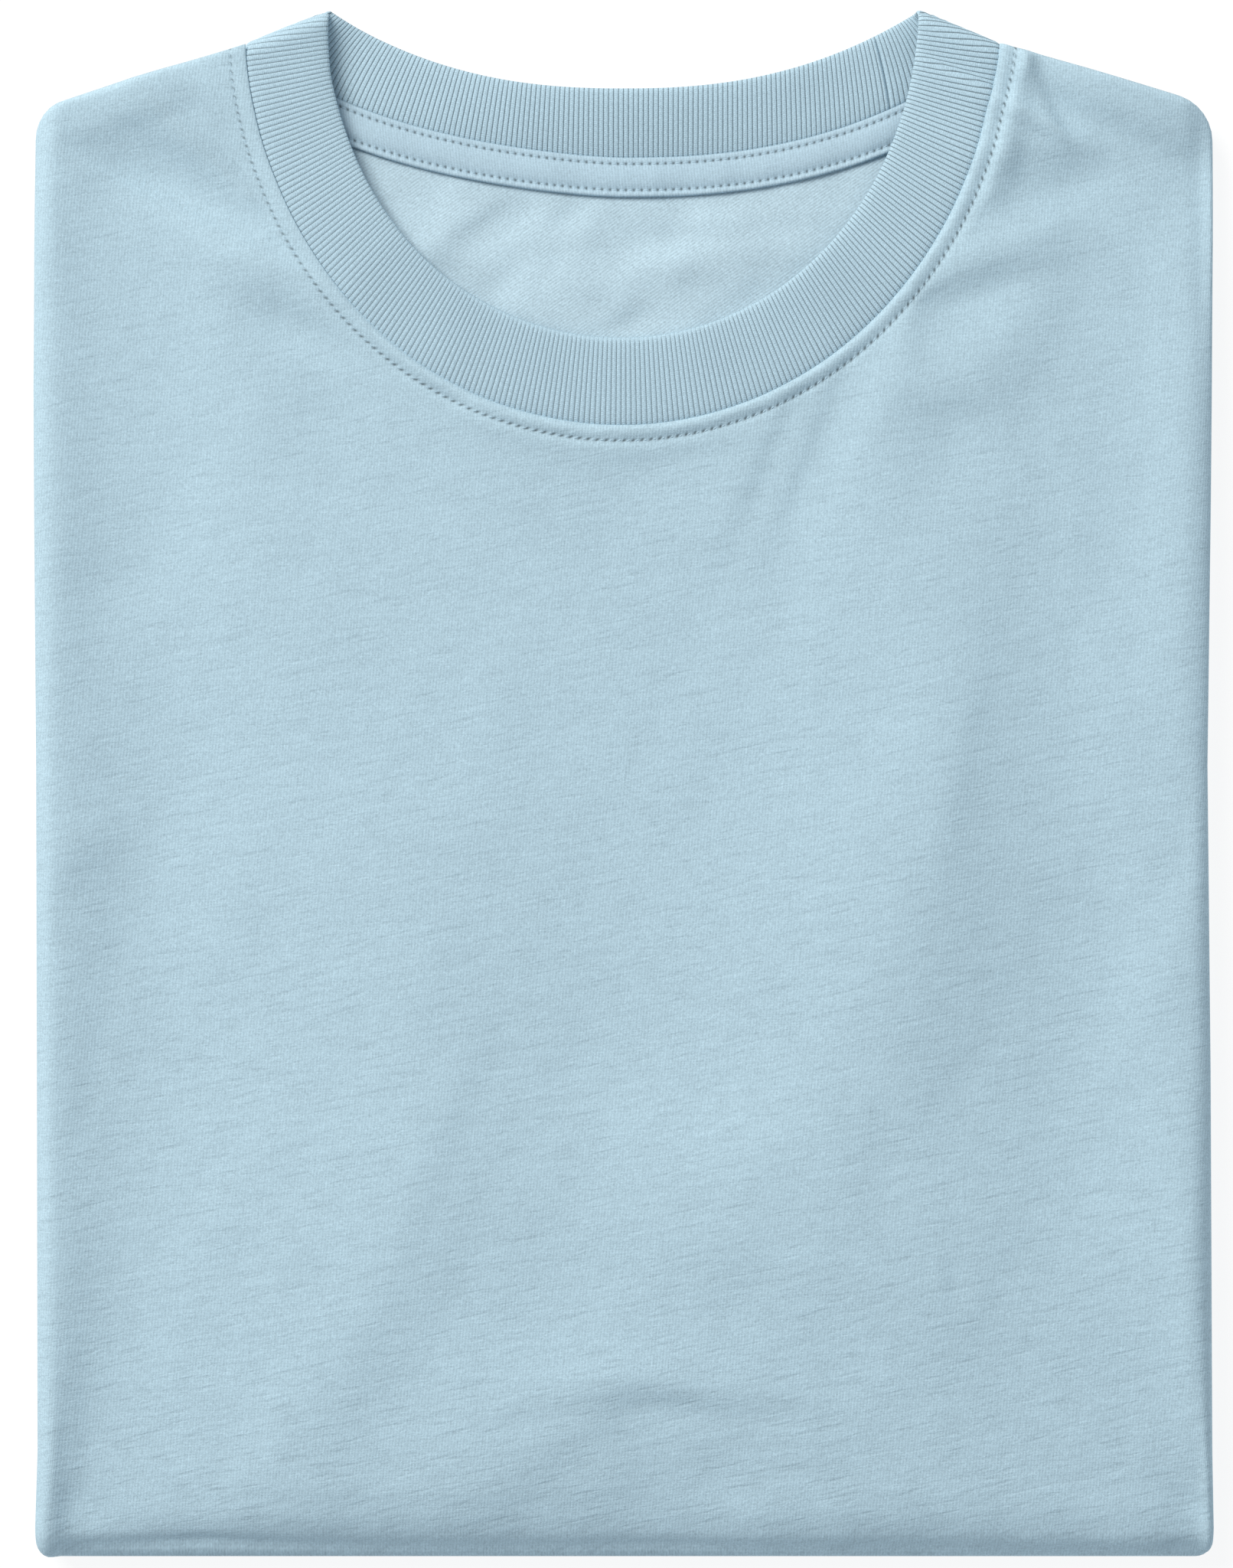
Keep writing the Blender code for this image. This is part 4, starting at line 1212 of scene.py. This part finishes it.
def grid_piece(name, points, flat, thickness, material, nodes):
    """A piece of cloth from one grid of points, and where they are on the flat cloth."""
    faces = grid_faces(*points.shape[:2]).tolist()
    thing = new_piece(
        name, points.reshape(-1, 3), faces, {"flat": flat.reshape(-1, 2)}, material, nodes,
    )
    return thicken(thing, thickness)


def front_piece(material):
    """The front, from the neck seam round the sides and the bottom fold to the hem."""
    points, faces, maps = welded(front_patches())
    thing = new_piece("front_jersey", points, faces, maps, material, ("front_panel",))
    thicken(thing, OUTER_JERSEY)
    return thing


def back_top(x):
    """Upper edge of the back: below the collar's seam, and along the shoulders."""
    share = x / SHOULDER_X
    return np.where(np.abs(share) < 1, back_neckline(share) - BACK_SEAM_GAP, top_edge(x) - SHOULDER_GAP)


def back_piece(material):
    """The part of the back that shows inside the neck, with its rim under the front."""
    x = np.linspace(-BACK_HALF_WIDTH, BACK_HALF_WIDTH, BACK_COLUMNS + 1)[None, :]
    share = (np.arange(BACK_ROWS + 1) / BACK_ROWS)[:, None]
    y = mix(back_top(x), BACK_START_Y, share)
    points = place(x, y - TURN_Y, back_level(x, y))
    flat = np.stack(np.broadcast_arrays(x, y), axis=-1)
    thing = grid_piece(
        "back_jersey", points, flat, JERSEY, material, ("back_panel",),
    )
    return thing


def tape_line(distance, count):
    """Places on the back along the tape, at a distance below its upper edge."""
    reach = TAPE_REACH * SHOULDER_X
    x = np.linspace(-reach, reach, count)
    top = back_top(x)
    tilted = np.hypot(1, np.gradient(top, x))
    return x, top + TAPE_OVERLAP - distance * tilted


def tape_height(distance, along):
    """Height of the tape's face over the back."""
    hole = 0.5 + 0.5 * np.cos(2 * math.pi * along / TAPE_PITCH)
    height = column(TAPE_SECTION, distance, 1, MM)
    for middle, width, at_hole, elsewhere in TAPE_DENTS:
        height = height + mix(elsewhere, at_hole, hole) * bell(distance, middle, width)
    return height + 0.5 * ripples(3 * along, distance)


def tape_piece(material):
    """The neck tape, over the upper edge of the back."""
    distances = np.array(TAPE_SECTION)[:, 0] * MM
    reach_x, reach_y = tape_line(0.0, TAPE_COLUMNS + 1)
    along = lengths_along(np.stack((reach_x, reach_y), axis=-1))
    points = []
    for distance in distances:
        x, y = tape_line(distance, TAPE_COLUMNS + 1)
        level = back_level(x, y) + tape_height(distance, along)
        points.append(place(x, y - TURN_Y, level))
    flat = np.stack(np.broadcast_arrays(along[None, :], distances[:, None]), axis=-1)
    thing = grid_piece(
        "neck_tape_strip", np.stack(points), flat, TAPE, material, ("neck_tape",),
    )
    return thing


def layered_edge(run, level, outwards):
    """The edges of the hidden layers, one above the other, each with a rounded lip."""
    runs, levels = [], []
    steps = LIP_STEPS * CORE_EDGES
    for i in range(steps + 1):
        lip = CORE_LIP * math.sqrt(abs(math.sin(math.pi * i / LIP_STEPS)))
        runs.append(run + outwards * lip)
        levels.append(mix(level[0], level[1], i / steps))
    return runs, levels


def core_profile(x, thickness):
    """Long section of the hidden layers at x, as run and level."""
    lower = CORE_LEVEL * thickness
    upper = lower - CORE_FACE_GAP * thickness
    under_back = min(CORE_UNDER_BACK, upper - CORE_STEP)
    hem = HEM_RUN + CORE_INSET
    step = CORE_STEP_Y - TURN_Y
    shoulder = float(top_edge(x)) - CORE_SHOULDER_INSET - TURN_Y
    face = list(in_steps((hem + CORE_LIP, -TURN_LENGTH, 0.0, step - CORE_STEP), CORE_STEPS))
    over = list(np.linspace(step, shoulder - CORE_LIP, CORE_SHOULDER_STEPS + 1))
    shoulder_runs, shoulder_levels = layered_edge(shoulder, (under_back, -lower), 1)
    hem_runs, hem_levels = layered_edge(hem, (upper, -lower), -1)
    runs = face + over + shoulder_runs + (face + over[1:])[::-1] + hem_runs[::-1]
    levels = [upper] * len(face) + [under_back] * len(over) + shoulder_levels
    levels += [-lower] * (len(face) + len(over) - 1) + hem_levels[::-1]
    return np.array(runs), np.array(levels)


def neck_cutter(margin):
    """An upright prism over the neck opening, larger than the seam by the margin."""
    x, y = front_curve(np.linspace(0.0, 1.0, NECK_STEPS + 1), 0.0)
    outline = np.stack((x, y), axis=-1) + margin * seam_outward(x, y)
    past = PEAK_Y + margin
    outline = np.concatenate((outline, ((outline[-1, 0], past), (outline[0, 0], past))))
    count = len(outline)
    low = np.column_stack((outline, np.full(count, -ARM)))
    high = np.column_stack((outline, np.full(count, 3 * ARM)))
    index = np.arange(count)
    following = np.roll(index, -1)
    walls = np.stack((index, following, following + count, index + count), axis=-1)
    caps = [index[::-1].tolist(), (index + count).tolist()]
    corners = np.concatenate((low, high)).tolist()
    return new_object("neck_cutter", new_mesh("neck_cutter", corners, walls.tolist() + caps))


def layers_piece(material):
    """The layers between front and back, as one solid with the neck opening cut out of it."""
    rings, maps = [], []
    for i in range(CORE_COLUMNS + 1):
        across = math.sin(math.pi / 2 * mix(-1, 1, i / CORE_COLUMNS))
        x = CORE_HALF_WIDTH * across
        thickness = mix(CORE_SIDE_SHARE, 1.0, math.sqrt(1 - abs(across) ** CORE_SIDE_POWER))
        run, level = core_profile(x, thickness)
        lower = CORE_LEVEL * thickness
        near_top = np.clip((level + lower) / (CORE_UNDER_BACK + lower), 0.0, 1.0)
        relief = front_relief(x, run) * smooth(*SAG_BLEND, neck_level(x, TURN_Y + run))
        level = level + np.where(run > -TURN_LENGTH / 2, relief * near_top * thickness * CORE_RELIEF, 0.0)
        rings.append(place(x, run, level))
        maps.append(np.stack((np.full_like(run, x), run), axis=-1))
    points = np.stack(rings)
    count, around = points.shape[:2]
    faces = grid_faces(count, around, around=True).tolist()
    ends = [list(range(around)), list(range((count - 1) * around, count * around))[::-1]]
    flat = {"flat": np.concatenate(maps)}
    mesh = new_mesh("layers", points.reshape(-1, 3).tolist(), faces + ends, material, flat)
    thing = new_object("layers", mesh)
    cutter = neck_cutter(CORE_NECK_MARGIN)
    boolean = thing.modifiers.new("neck", "BOOLEAN")
    boolean.operation = "DIFFERENCE"
    boolean.object = cutter
    boolean.solver = "EXACT"
    bpy.context.view_layer.update()
    seen = thing.evaluated_get(bpy.context.evaluated_depsgraph_get())
    final = bpy.data.meshes.new_from_object(seen)
    final.name = "hidden_layers"
    bpy.data.objects.remove(thing)
    bpy.data.objects.remove(cutter)
    final.shade_smooth()
    final.set_sharp_from_angle(angle=math.radians(SHARP_ANGLE))
    layers = new_object("hidden_layers", final)
    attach(layers, "root")
    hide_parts("folded_layers")
    return layers


def sleeve_surface(side, run, section):
    """World points of places on a sleeve that is folded in half behind, and where they are on flat cloth."""
    depth = SLEEVE_ARM / 2
    angle = np.clip((section - SLEEVE_FACE) / SLEEVE_BEND, 0.0, 1.0) * math.pi
    y = SLEEVE_FROM_Y + np.minimum(section, SLEEVE_FACE) + depth * np.sin(angle)
    y = y - np.maximum(section - SLEEVE_FACE - SLEEVE_BEND, 0.0)
    level = depth * np.cos(angle)
    soft = folds(SLEEVE_FOLDS, np.abs(run) * np.ones_like(y), y) * (np.abs(level) / depth) ** 2
    level = level + np.sign(level) * soft
    distance, height = hairpin(run, level, SLEEVE_ARM, SLEEVE_GAP)
    x = side * (SLEEVE_FOLD_X - distance)
    points = np.stack(np.broadcast_arrays(x, y, height), axis=-1)
    return points, np.stack(np.broadcast_arrays(section, run), axis=-1)


def sleeve_piece(side, material):
    """A sleeve, folded in half behind the packet, from the armhole to its cuff."""
    name = "sleeve_left" if side < 0 else "sleeve_right"
    run = in_steps((SLEEVE_CENTRE_X - ARMHOLE_X, 0.0, -SLEEVE_TURN, CUFF_RUN), SLEEVE_RUNS)
    bent = SLEEVE_FACE + SLEEVE_BEND
    section = in_steps((0.0, SLEEVE_FACE, bent, bent + SLEEVE_FACE), SLEEVE_SECTION)
    points, flat = sleeve_surface(side, run[:, None], section[None, :])
    if side < 0:
        points, flat = points[:, ::-1], flat[:, ::-1]
    thing = grid_piece(f"{name}_jersey", points, flat, OUTER_JERSEY, material, (name,))
    return thing


def stitch_mesh(name, rows, material):
    """Rows of stitches as one mesh: each a short thread that dips into the cloth at both ends."""
    template = []
    for along, thick in STITCH_RINGS:
        for i in range(STITCH_SIDES):
            angle = 2 * math.pi * i / STITCH_SIDES
            template.append((along, thick * math.cos(angle), thick * math.sin(angle) - 0.5 * along ** 2))
    template = np.array(template)
    base = grid_faces(len(STITCH_RINGS), STITCH_SIDES, around=True)
    points, faces = [], []
    for middles, tangents, normals, length in rows:
        sides = unit(np.cross(normals, tangents))
        for middle, tangent, normal, sideways in zip(middles, tangents, normals, sides):
            faces.append(base + len(points) * len(template))
            points.append(
                middle
                + template[:, :1] * tangent * length / 2
                + template[:, 1:2] * sideways * THREAD_RADIUS
                + template[:, 2:] * normal * THREAD_RADIUS
            )
    points = np.concatenate(points)
    kept, joined = joined_points(points, STITCH_WELD)
    outlines = [list(dict.fromkeys(face)) for face in joined[np.concatenate(faces)].tolist()]
    closed = [corners for corners in outlines if len(corners) > 2]
    return new_piece(name, points[kept], closed, {}, material)


def stitches_along(line, normals, pitch, slant=0.0, at=None):
    """Middles, directions and normals of stitches at an even pitch along a line of points.

    at is the distance of each point along the seam that the stitches keep step with, if not the line itself.
    """
    if at is None:
        at = lengths_along(line)
    wanted = (np.arange(math.ceil(at[0] / pitch), math.floor(at[-1] / pitch)) + 0.5) * pitch
    ups = unit(points_at(wanted, at, normals))
    ahead, behind = (points_at(wanted + step, at, line) for step in (pitch / 4, -pitch / 4))
    tangents = unit(ahead - behind)
    tangents = unit(tangents + slant * np.cross(ups, tangents))
    return points_at(wanted, at, line), tangents, ups, pitch * STITCH_SHARE


def surface_line(points):
    """The middle one of three neighbouring lines of points, and its normals."""
    before, line, after = points
    return line, unit(np.cross(after - before, np.gradient(line, axis=0)))


def side_by_side(place_name):
    """Offsets of the three lines that surface_line takes."""
    step = BESIDE[place_name]
    return -step, 0.0, step


def neck_stitches():
    """The topstitching round the front of the neck."""
    seam, outward = front_seam(NECK_GAP)
    along = lengths_along(seam)
    inside = (along > ROW_ENDS) & (along < along[-1] - ROW_ENDS)
    lines = []
    for offset in side_by_side("neck"):
        distance = TOPSTITCH + offset
        x, y = (seam + outward * distance)[inside].T
        y = np.minimum(y, top_edge(x) - ROW_INSET)
        points, _ = front_surface(share_across(x, y), y - TURN_Y, distance, along[inside])
        lines.append(points)
    return *surface_line(lines), along[inside]


def tape_stitches(distance):
    """A row along the tape, at a distance from its upper edge."""
    lines = []
    along = lengths_along(np.stack(tape_line(0.0, 2 * TAPE_COLUMNS + 1), axis=-1))
    for offset in side_by_side("tape"):
        x, y = tape_line(distance + offset, 2 * TAPE_COLUMNS + 1)
        level = back_level(x, y) + tape_height(distance + offset, along)
        lines.append(place(x, y - TURN_Y, level))
    return *surface_line(lines), along


def hem_stitches(distance):
    """A row along the hem, at a distance from its edge."""
    across = np.linspace(-HEM_REACH, HEM_REACH, HEM_SAMPLES)
    return surface_line([
        front_surface(across, HEM_RUN + distance - offset)[0] for offset in side_by_side("hem")
    ])


def cuff_stitches(side, distance):
    """A row along a cuff, at a distance from its edge."""
    section = np.linspace(CUFF_START, SLEEVE_FACE, CUFF_SAMPLES)
    lines = [
        sleeve_surface(side, CUFF_RUN + distance - offset, section)[0] for offset in side_by_side("cuff")
    ]
    if side < 0:
        lines = [line[::-1] for line in lines]
    return surface_line(lines)


def sunk(depth, line, normals, at=None):
    """A line of stitches moved down into the cloth, as stitches_along takes it."""
    return {"line": line - normals * depth, "normals": normals, "at": at}


def stitch_pieces(material):
    """All the stitching that is seen."""
    shallow = THREAD_RADIUS * SHALLOW
    neck = [stitches_along(pitch=TOPSTITCH_PITCH, slant=TOPSTITCH_SLANT, **sunk(shallow, *neck_stitches()))]
    tape = [stitches_along(pitch=TAPE_PITCH, **sunk(shallow, *tape_stitches(row))) for row in TAPE_ROWS]
    hem = [stitches_along(pitch=HEM_PITCH, **sunk(THREAD_RADIUS, *hem_stitches(row))) for row in HEM_ROWS]
    cuffs = [
        stitches_along(pitch=HEM_PITCH, **sunk(THREAD_RADIUS, *cuff_stitches(side, row)))
        for side in (-1, 1) for row in HEM_ROWS
    ]
    stitch_mesh("neck_topstitching", neck, material)
    stitch_mesh("tape_stitching", tape, material)
    stitch_mesh("hem_stitching", hem, material)
    stitch_mesh("cuff_stitching", cuffs, material)


def linear(colour):
    """Linear RGBA of an sRGB colour given in 0 to 255."""
    values = [channel / 255 for channel in colour]
    return tuple(v / 12.92 if v <= 0.04045 else ((v + 0.055) / 1.055) ** 2.4 for v in values) + (1.0,)


def connect(tree, socket, value):
    """Set a socket to a number, or link it to a value."""
    if isinstance(value, Value):
        tree.links.new(value.socket, socket)
    else:
        socket.default_value = value


class Value:
    """A number that a material works out at every place of the cloth."""

    def __init__(self, tree, socket):
        self.tree = tree
        self.socket = socket

    def math(self, operation, *others):
        node = self.tree.nodes.new("ShaderNodeMath")
        node.operation = operation
        for socket, value in zip(node.inputs, (self, *others)):
            connect(self.tree, socket, value)
        return Value(self.tree, node.outputs[0])

    def __add__(self, other):
        return self.math("ADD", other)

    def __sub__(self, other):
        return self.math("SUBTRACT", other)

    def __mul__(self, other):
        return self.math("MULTIPLY", other)

    def __pow__(self, other):
        return self.math("POWER", other)

    def __abs__(self):
        return self.math("ABSOLUTE")

    def within(self, lowest, highest):
        return self.math("MAXIMUM", lowest).math("MINIMUM", highest)

    def wave(self, pitch):
        """From -1 to 1, with one crest in every pitch."""
        return (self * (2 * math.pi / pitch)).math("COSINE")

    def bell(self, middle, width):
        """1 at a middle value, and less around it."""
        off = self - middle
        return (off * off * (-1 / width ** 2)).math("EXPONENT")


class Cloth:
    """A cloth material, with a brightness and a height that are made up from patterns."""

    def __init__(self, name, colour, roughness=0.9, sheen=0.03):
        self.material = bpy.data.materials.new(name)
        self.material.use_nodes = True
        self.tree = self.material.node_tree
        self.shader = self.tree.nodes["Principled BSDF"]
        self.shader.inputs["Roughness"].default_value = roughness
        self.shader.inputs["Specular IOR Level"].default_value = SPECULAR
        self.shader.inputs["Sheen Weight"].default_value = sheen
        self.shader.inputs["Sheen Roughness"].default_value = SHEEN_ROUGHNESS
        self.colour = linear(colour)
        self.shader.inputs["Base Color"].default_value = self.colour

    def map(self, name):
        """The two values of one of the mesh's maps."""
        source = self.tree.nodes.new("ShaderNodeUVMap")
        source.uv_map = name
        parts = self.tree.nodes.new("ShaderNodeSeparateXYZ")
        self.tree.links.new(source.outputs[0], parts.inputs[0])
        return Value(self.tree, parts.outputs[0]), Value(self.tree, parts.outputs[1])

    def noise(self, x, y, across, along, turn=0, detail=2.0, roughness=0.5):
        """Noise from -1 to 1 with so many cells a metre across and along, turned by so many degrees."""
        cosine, sine = math.cos(math.radians(turn)), math.sin(math.radians(turn))
        spot = self.tree.nodes.new("ShaderNodeCombineXYZ")
        connect(self.tree, spot.inputs[0], (x * cosine + y * sine) * across)
        connect(self.tree, spot.inputs[1], (y * cosine - x * sine) * along)
        node = self.tree.nodes.new("ShaderNodeTexNoise")
        node.noise_dimensions = "2D"
        node.inputs["Scale"].default_value = 1.0
        node.inputs["Detail"].default_value = detail
        node.inputs["Roughness"].default_value = roughness
        self.tree.links.new(spot.outputs[0], node.inputs["Vector"])
        return Value(self.tree, node.outputs[0]) * 2.0 - 1.0

    def patterns(self, look, x, y, **made):
        """Brightness near 1, and height in metres, of a table of patterns.

        made holds the patterns that aren't noise, and what is done to a noise where it isn't used as it is.
        """
        brightness, height = 1.0, 0.0
        for name, share, rise, *cells in look:
            value = made.get(name)
            if cells:
                noise = self.noise(x, y, *cells)
                value = value(noise) if value else noise
            brightness = value * share + brightness
            if rise:
                height = value * (rise * MM) + height
        return brightness, height

    def finish(self, brightness, height):
        """Give the cloth's colour its brightness, and its surface a bump of the height."""
        node = self.tree.nodes.new("ShaderNodeVectorMath")
        node.operation = "SCALE"
        node.inputs[0].default_value = self.colour[:3]
        connect(self.tree, node.inputs["Scale"], brightness)
        self.tree.links.new(node.outputs[0], self.shader.inputs["Base Color"])
        bump = self.tree.nodes.new("ShaderNodeBump")
        bump.inputs["Strength"].default_value = 1.0
        bump.inputs["Distance"].default_value = 1.0
        connect(self.tree, bump.inputs["Height"], height)
        self.tree.links.new(bump.outputs[0], self.shader.inputs["Normal"])
        return self.material


def needle_holes(along, pitch, sharpness):
    """A row of needle holes: 1 in the middle of each, and 0 halfway to the next."""
    return (along.wave(pitch) * 0.5 + 0.5) ** sharpness


def knit(cloth, x, y):
    """The face of a plain jersey: wales with a stitch in every course, leaning in turn to either side."""
    x = x - y * math.tan(WALE_TILT) + cloth.noise(x, y, *KNIT_DRIFT_CELLS) * KNIT_DRIFT
    lean = abs((x * (math.pi / WALE)).math("SINE")) * KNIT_LEAN
    return {"wale": x.wave(WALE), "course": (y * (2 * math.pi / COURSE) + lean).math("COSINE")}


def jersey_material(name, colour, seam):
    """Outside of the jersey: slubs, creases with painted shade, and painted shade in the neck seam's needle
    holes where the cloth has one.
    """
    cloth = Cloth(name, colour, sheen=0.01)
    x, y = cloth.map("flat")
    strength = y * -SLUB_FADE + 1.0
    brightness, height = cloth.patterns(
        JERSEY_LOOK, x, y, **knit(cloth, x, y),
        slub=lambda noise: noise * strength,
        # painted shade darkens the creases
        crease=lambda noise: (noise - CREASE_FLOOR).math("MAXIMUM", 0.0) * strength,
    )
    if seam:
        along, out = cloth.map("seam")
        start, end = PADDING_BLEND
        clear = ((along - start) * (1 / (end - start))).within(0.0, 1.0)
        row = out - TOPSTITCH
        hole = needle_holes(row * HOLE_SLANT + along, TOPSTITCH_PITCH, HOLE_SHARPNESS)
        # painted shade in the needle holes, with a dip in the height
        dark = row.bell(0.0, HOLE_WIDTH) * hole * (clear * (1 - LEFT_HOLES) + LEFT_HOLES)
        brightness = brightness * (dark * (HOLE_SHADE - 1) + 1.0)
        height = height - dark * HOLE_DEPTH
    return cloth.finish(brightness, height)


def inside_material(name, colour):
    """Inside of the jersey: a finer, slanting grain."""
    cloth = Cloth(name, colour, sheen=0.04)
    x, y = cloth.map("flat")
    slant = y * math.cos(INSIDE_SLANT) - x * math.sin(INSIDE_SLANT)
    rows = (cloth.noise(x, y, *INSIDE_DRIFT_CELLS) * INSIDE_DRIFT + slant).wave(INSIDE_PITCH)
    return cloth.finish(*cloth.patterns(INSIDE_LOOK, x, y, rows=rows))


def rib_material(name, colour):
    """Rib knit: painted shade along the bottom of each groove, and a fine braid along each rib."""
    cloth = Cloth(name, colour)
    rib, across = cloth.map("band")
    phase = rib.math("FRACT")
    from_groove = phase.math("MINIMUM", phase * -1.0 + 1.0)
    end, fade, least = GROOVE_SHADE_END
    before_edge = ((across - end) * (-1 / fade)).within(least, 1.0)
    # painted shade along the bottom of each groove, fading near the free edge
    groove = from_groove.bell(0.0, GROOVE_SHADE_WIDTH) * before_edge
    course = (across * (2 * math.pi / RIB_COURSE) + abs(phase - 0.5) * BRAID_LEAN).math("COSINE")
    brightness, height = cloth.patterns(RIB_LOOK, rib * RIB_PITCH, across, course=course)
    return cloth.finish(brightness * (groove * (GROOVE_SHADE - 1) + 1.0), height)


def tape_material(name, colour):
    """Tape cut from the jersey, its wales across the strip, and painted shade in the needle holes of its two
    rows.
    """
    cloth = Cloth(name, colour)
    along, down = cloth.map("flat")
    brightness, height = cloth.patterns(TAPE_LOOK, along, down, **knit(cloth, along, down))
    hole = needle_holes(along, TAPE_PITCH, TAPE_HOLE_SHARPNESS)
    for row in TAPE_ROWS:
        # painted shade in the needle holes of each row
        dark = down.bell(row, TAPE_HOLE_WIDTH) * hole
        brightness = brightness * (dark * (HOLE_SHADE - 1) + 1.0)
    return cloth.finish(brightness, height)


def thread_material(name, colour):
    """Spun thread."""
    cloth = Cloth(name, colour, roughness=0.7, sheen=0.05)
    scale, share, rise = PLY
    source = cloth.tree.nodes.new("ShaderNodeTexCoord")
    node = cloth.tree.nodes.new("ShaderNodeTexNoise")
    node.inputs["Scale"].default_value = scale
    cloth.tree.links.new(source.outputs["Object"], node.inputs["Vector"])
    ply = Value(cloth.tree, node.outputs[0]) * 2.0 - 1.0
    return cloth.finish(ply * share + 1.0, ply * (rise * MM))


def studio():
    """A plain pale floor, one large soft light from the upper left, and even light all round."""
    scene = bpy.context.scene
    scene.view_settings.view_transform = "Standard"
    paper = bpy.data.materials.new("floor_paper")
    paper.use_nodes = True
    shader = paper.node_tree.nodes["Principled BSDF"]
    shader.inputs["Base Color"].default_value = (FLOOR_SHADE, FLOOR_SHADE, FLOOR_SHADE, 1.0)
    shader.inputs["Emission Color"].default_value = (1.0, 1.0, 1.0, 1.0)
    shader.inputs["Emission Strength"].default_value = FLOOR_GLOW
    shader.inputs["Roughness"].default_value = 0.95
    shader.inputs["Specular IOR Level"].default_value = 0.0
    corners = [(x * FLOOR_REACH, y * FLOOR_REACH, 0.0) for x, y in ((-1, -1), (1, -1), (1, 1), (-1, 1))]
    floor = new_object("floor", new_mesh("floor", corners, [(0, 1, 2, 3)], paper))
    floor.location.z = -FLOOR_GAP

    light = bpy.data.lights.new("key", "AREA")
    light.energy = KEY_POWER
    light.color = KEY_COLOUR
    light.size = KEY_SIZE
    key = new_object("key", light)
    key.location = KEY_PLACE
    aim(key, (0.0, 0.0, 0.0))

    world = bpy.data.worlds.new("room")
    world.use_nodes = True
    glow = world.node_tree.nodes["Background"].inputs
    glow["Color"].default_value = (*AMBIENT_COLOUR, 1.0)
    glow["Strength"].default_value = AMBIENT
    scene.world = world

    lens = bpy.data.cameras.new("camera")
    lens.sensor_fit = "VERTICAL"
    lens.sensor_height = SENSOR
    lens.lens = SENSOR * VIEW_DISTANCE / VIEW_HEIGHT
    lens.clip_start = 0.01
    camera = new_object("camera", lens)
    camera.location = (*VIEW_CENTRE, TOP_Z + VIEW_DISTANCE)
    scene.camera = camera


def aim(thing, target):
    """Turn a light so that it faces a point."""
    x, y, z = np.array(target) - np.array(thing.location)
    thing.rotation_euler = (math.atan2(math.hypot(x, y), -z), 0.0, math.atan2(y, x) - math.pi / 2)


def build():
    """The whole shirt, and the light and camera of the photo."""
    jersey = jersey_material("jersey_outside", JERSEY_COLOUR, seam=True)
    sleeve_jersey = jersey_material("sleeve_outside", JERSEY_COLOUR, seam=False)
    inside = inside_material("jersey_inside", INSIDE_COLOUR)
    front_piece(jersey)
    layers_piece(inside)
    back_piece(inside)
    tape_piece(tape_material("tape", TAPE_COLOUR))
    collar_piece(rib_material("rib", RIB_COLOUR))
    for side in (-1, 1):
        sleeve_piece(side, sleeve_jersey)
    stitch_pieces(thread_material("thread", THREAD_COLOUR))
    studio()


build()
bpy.context.view_layer.update()
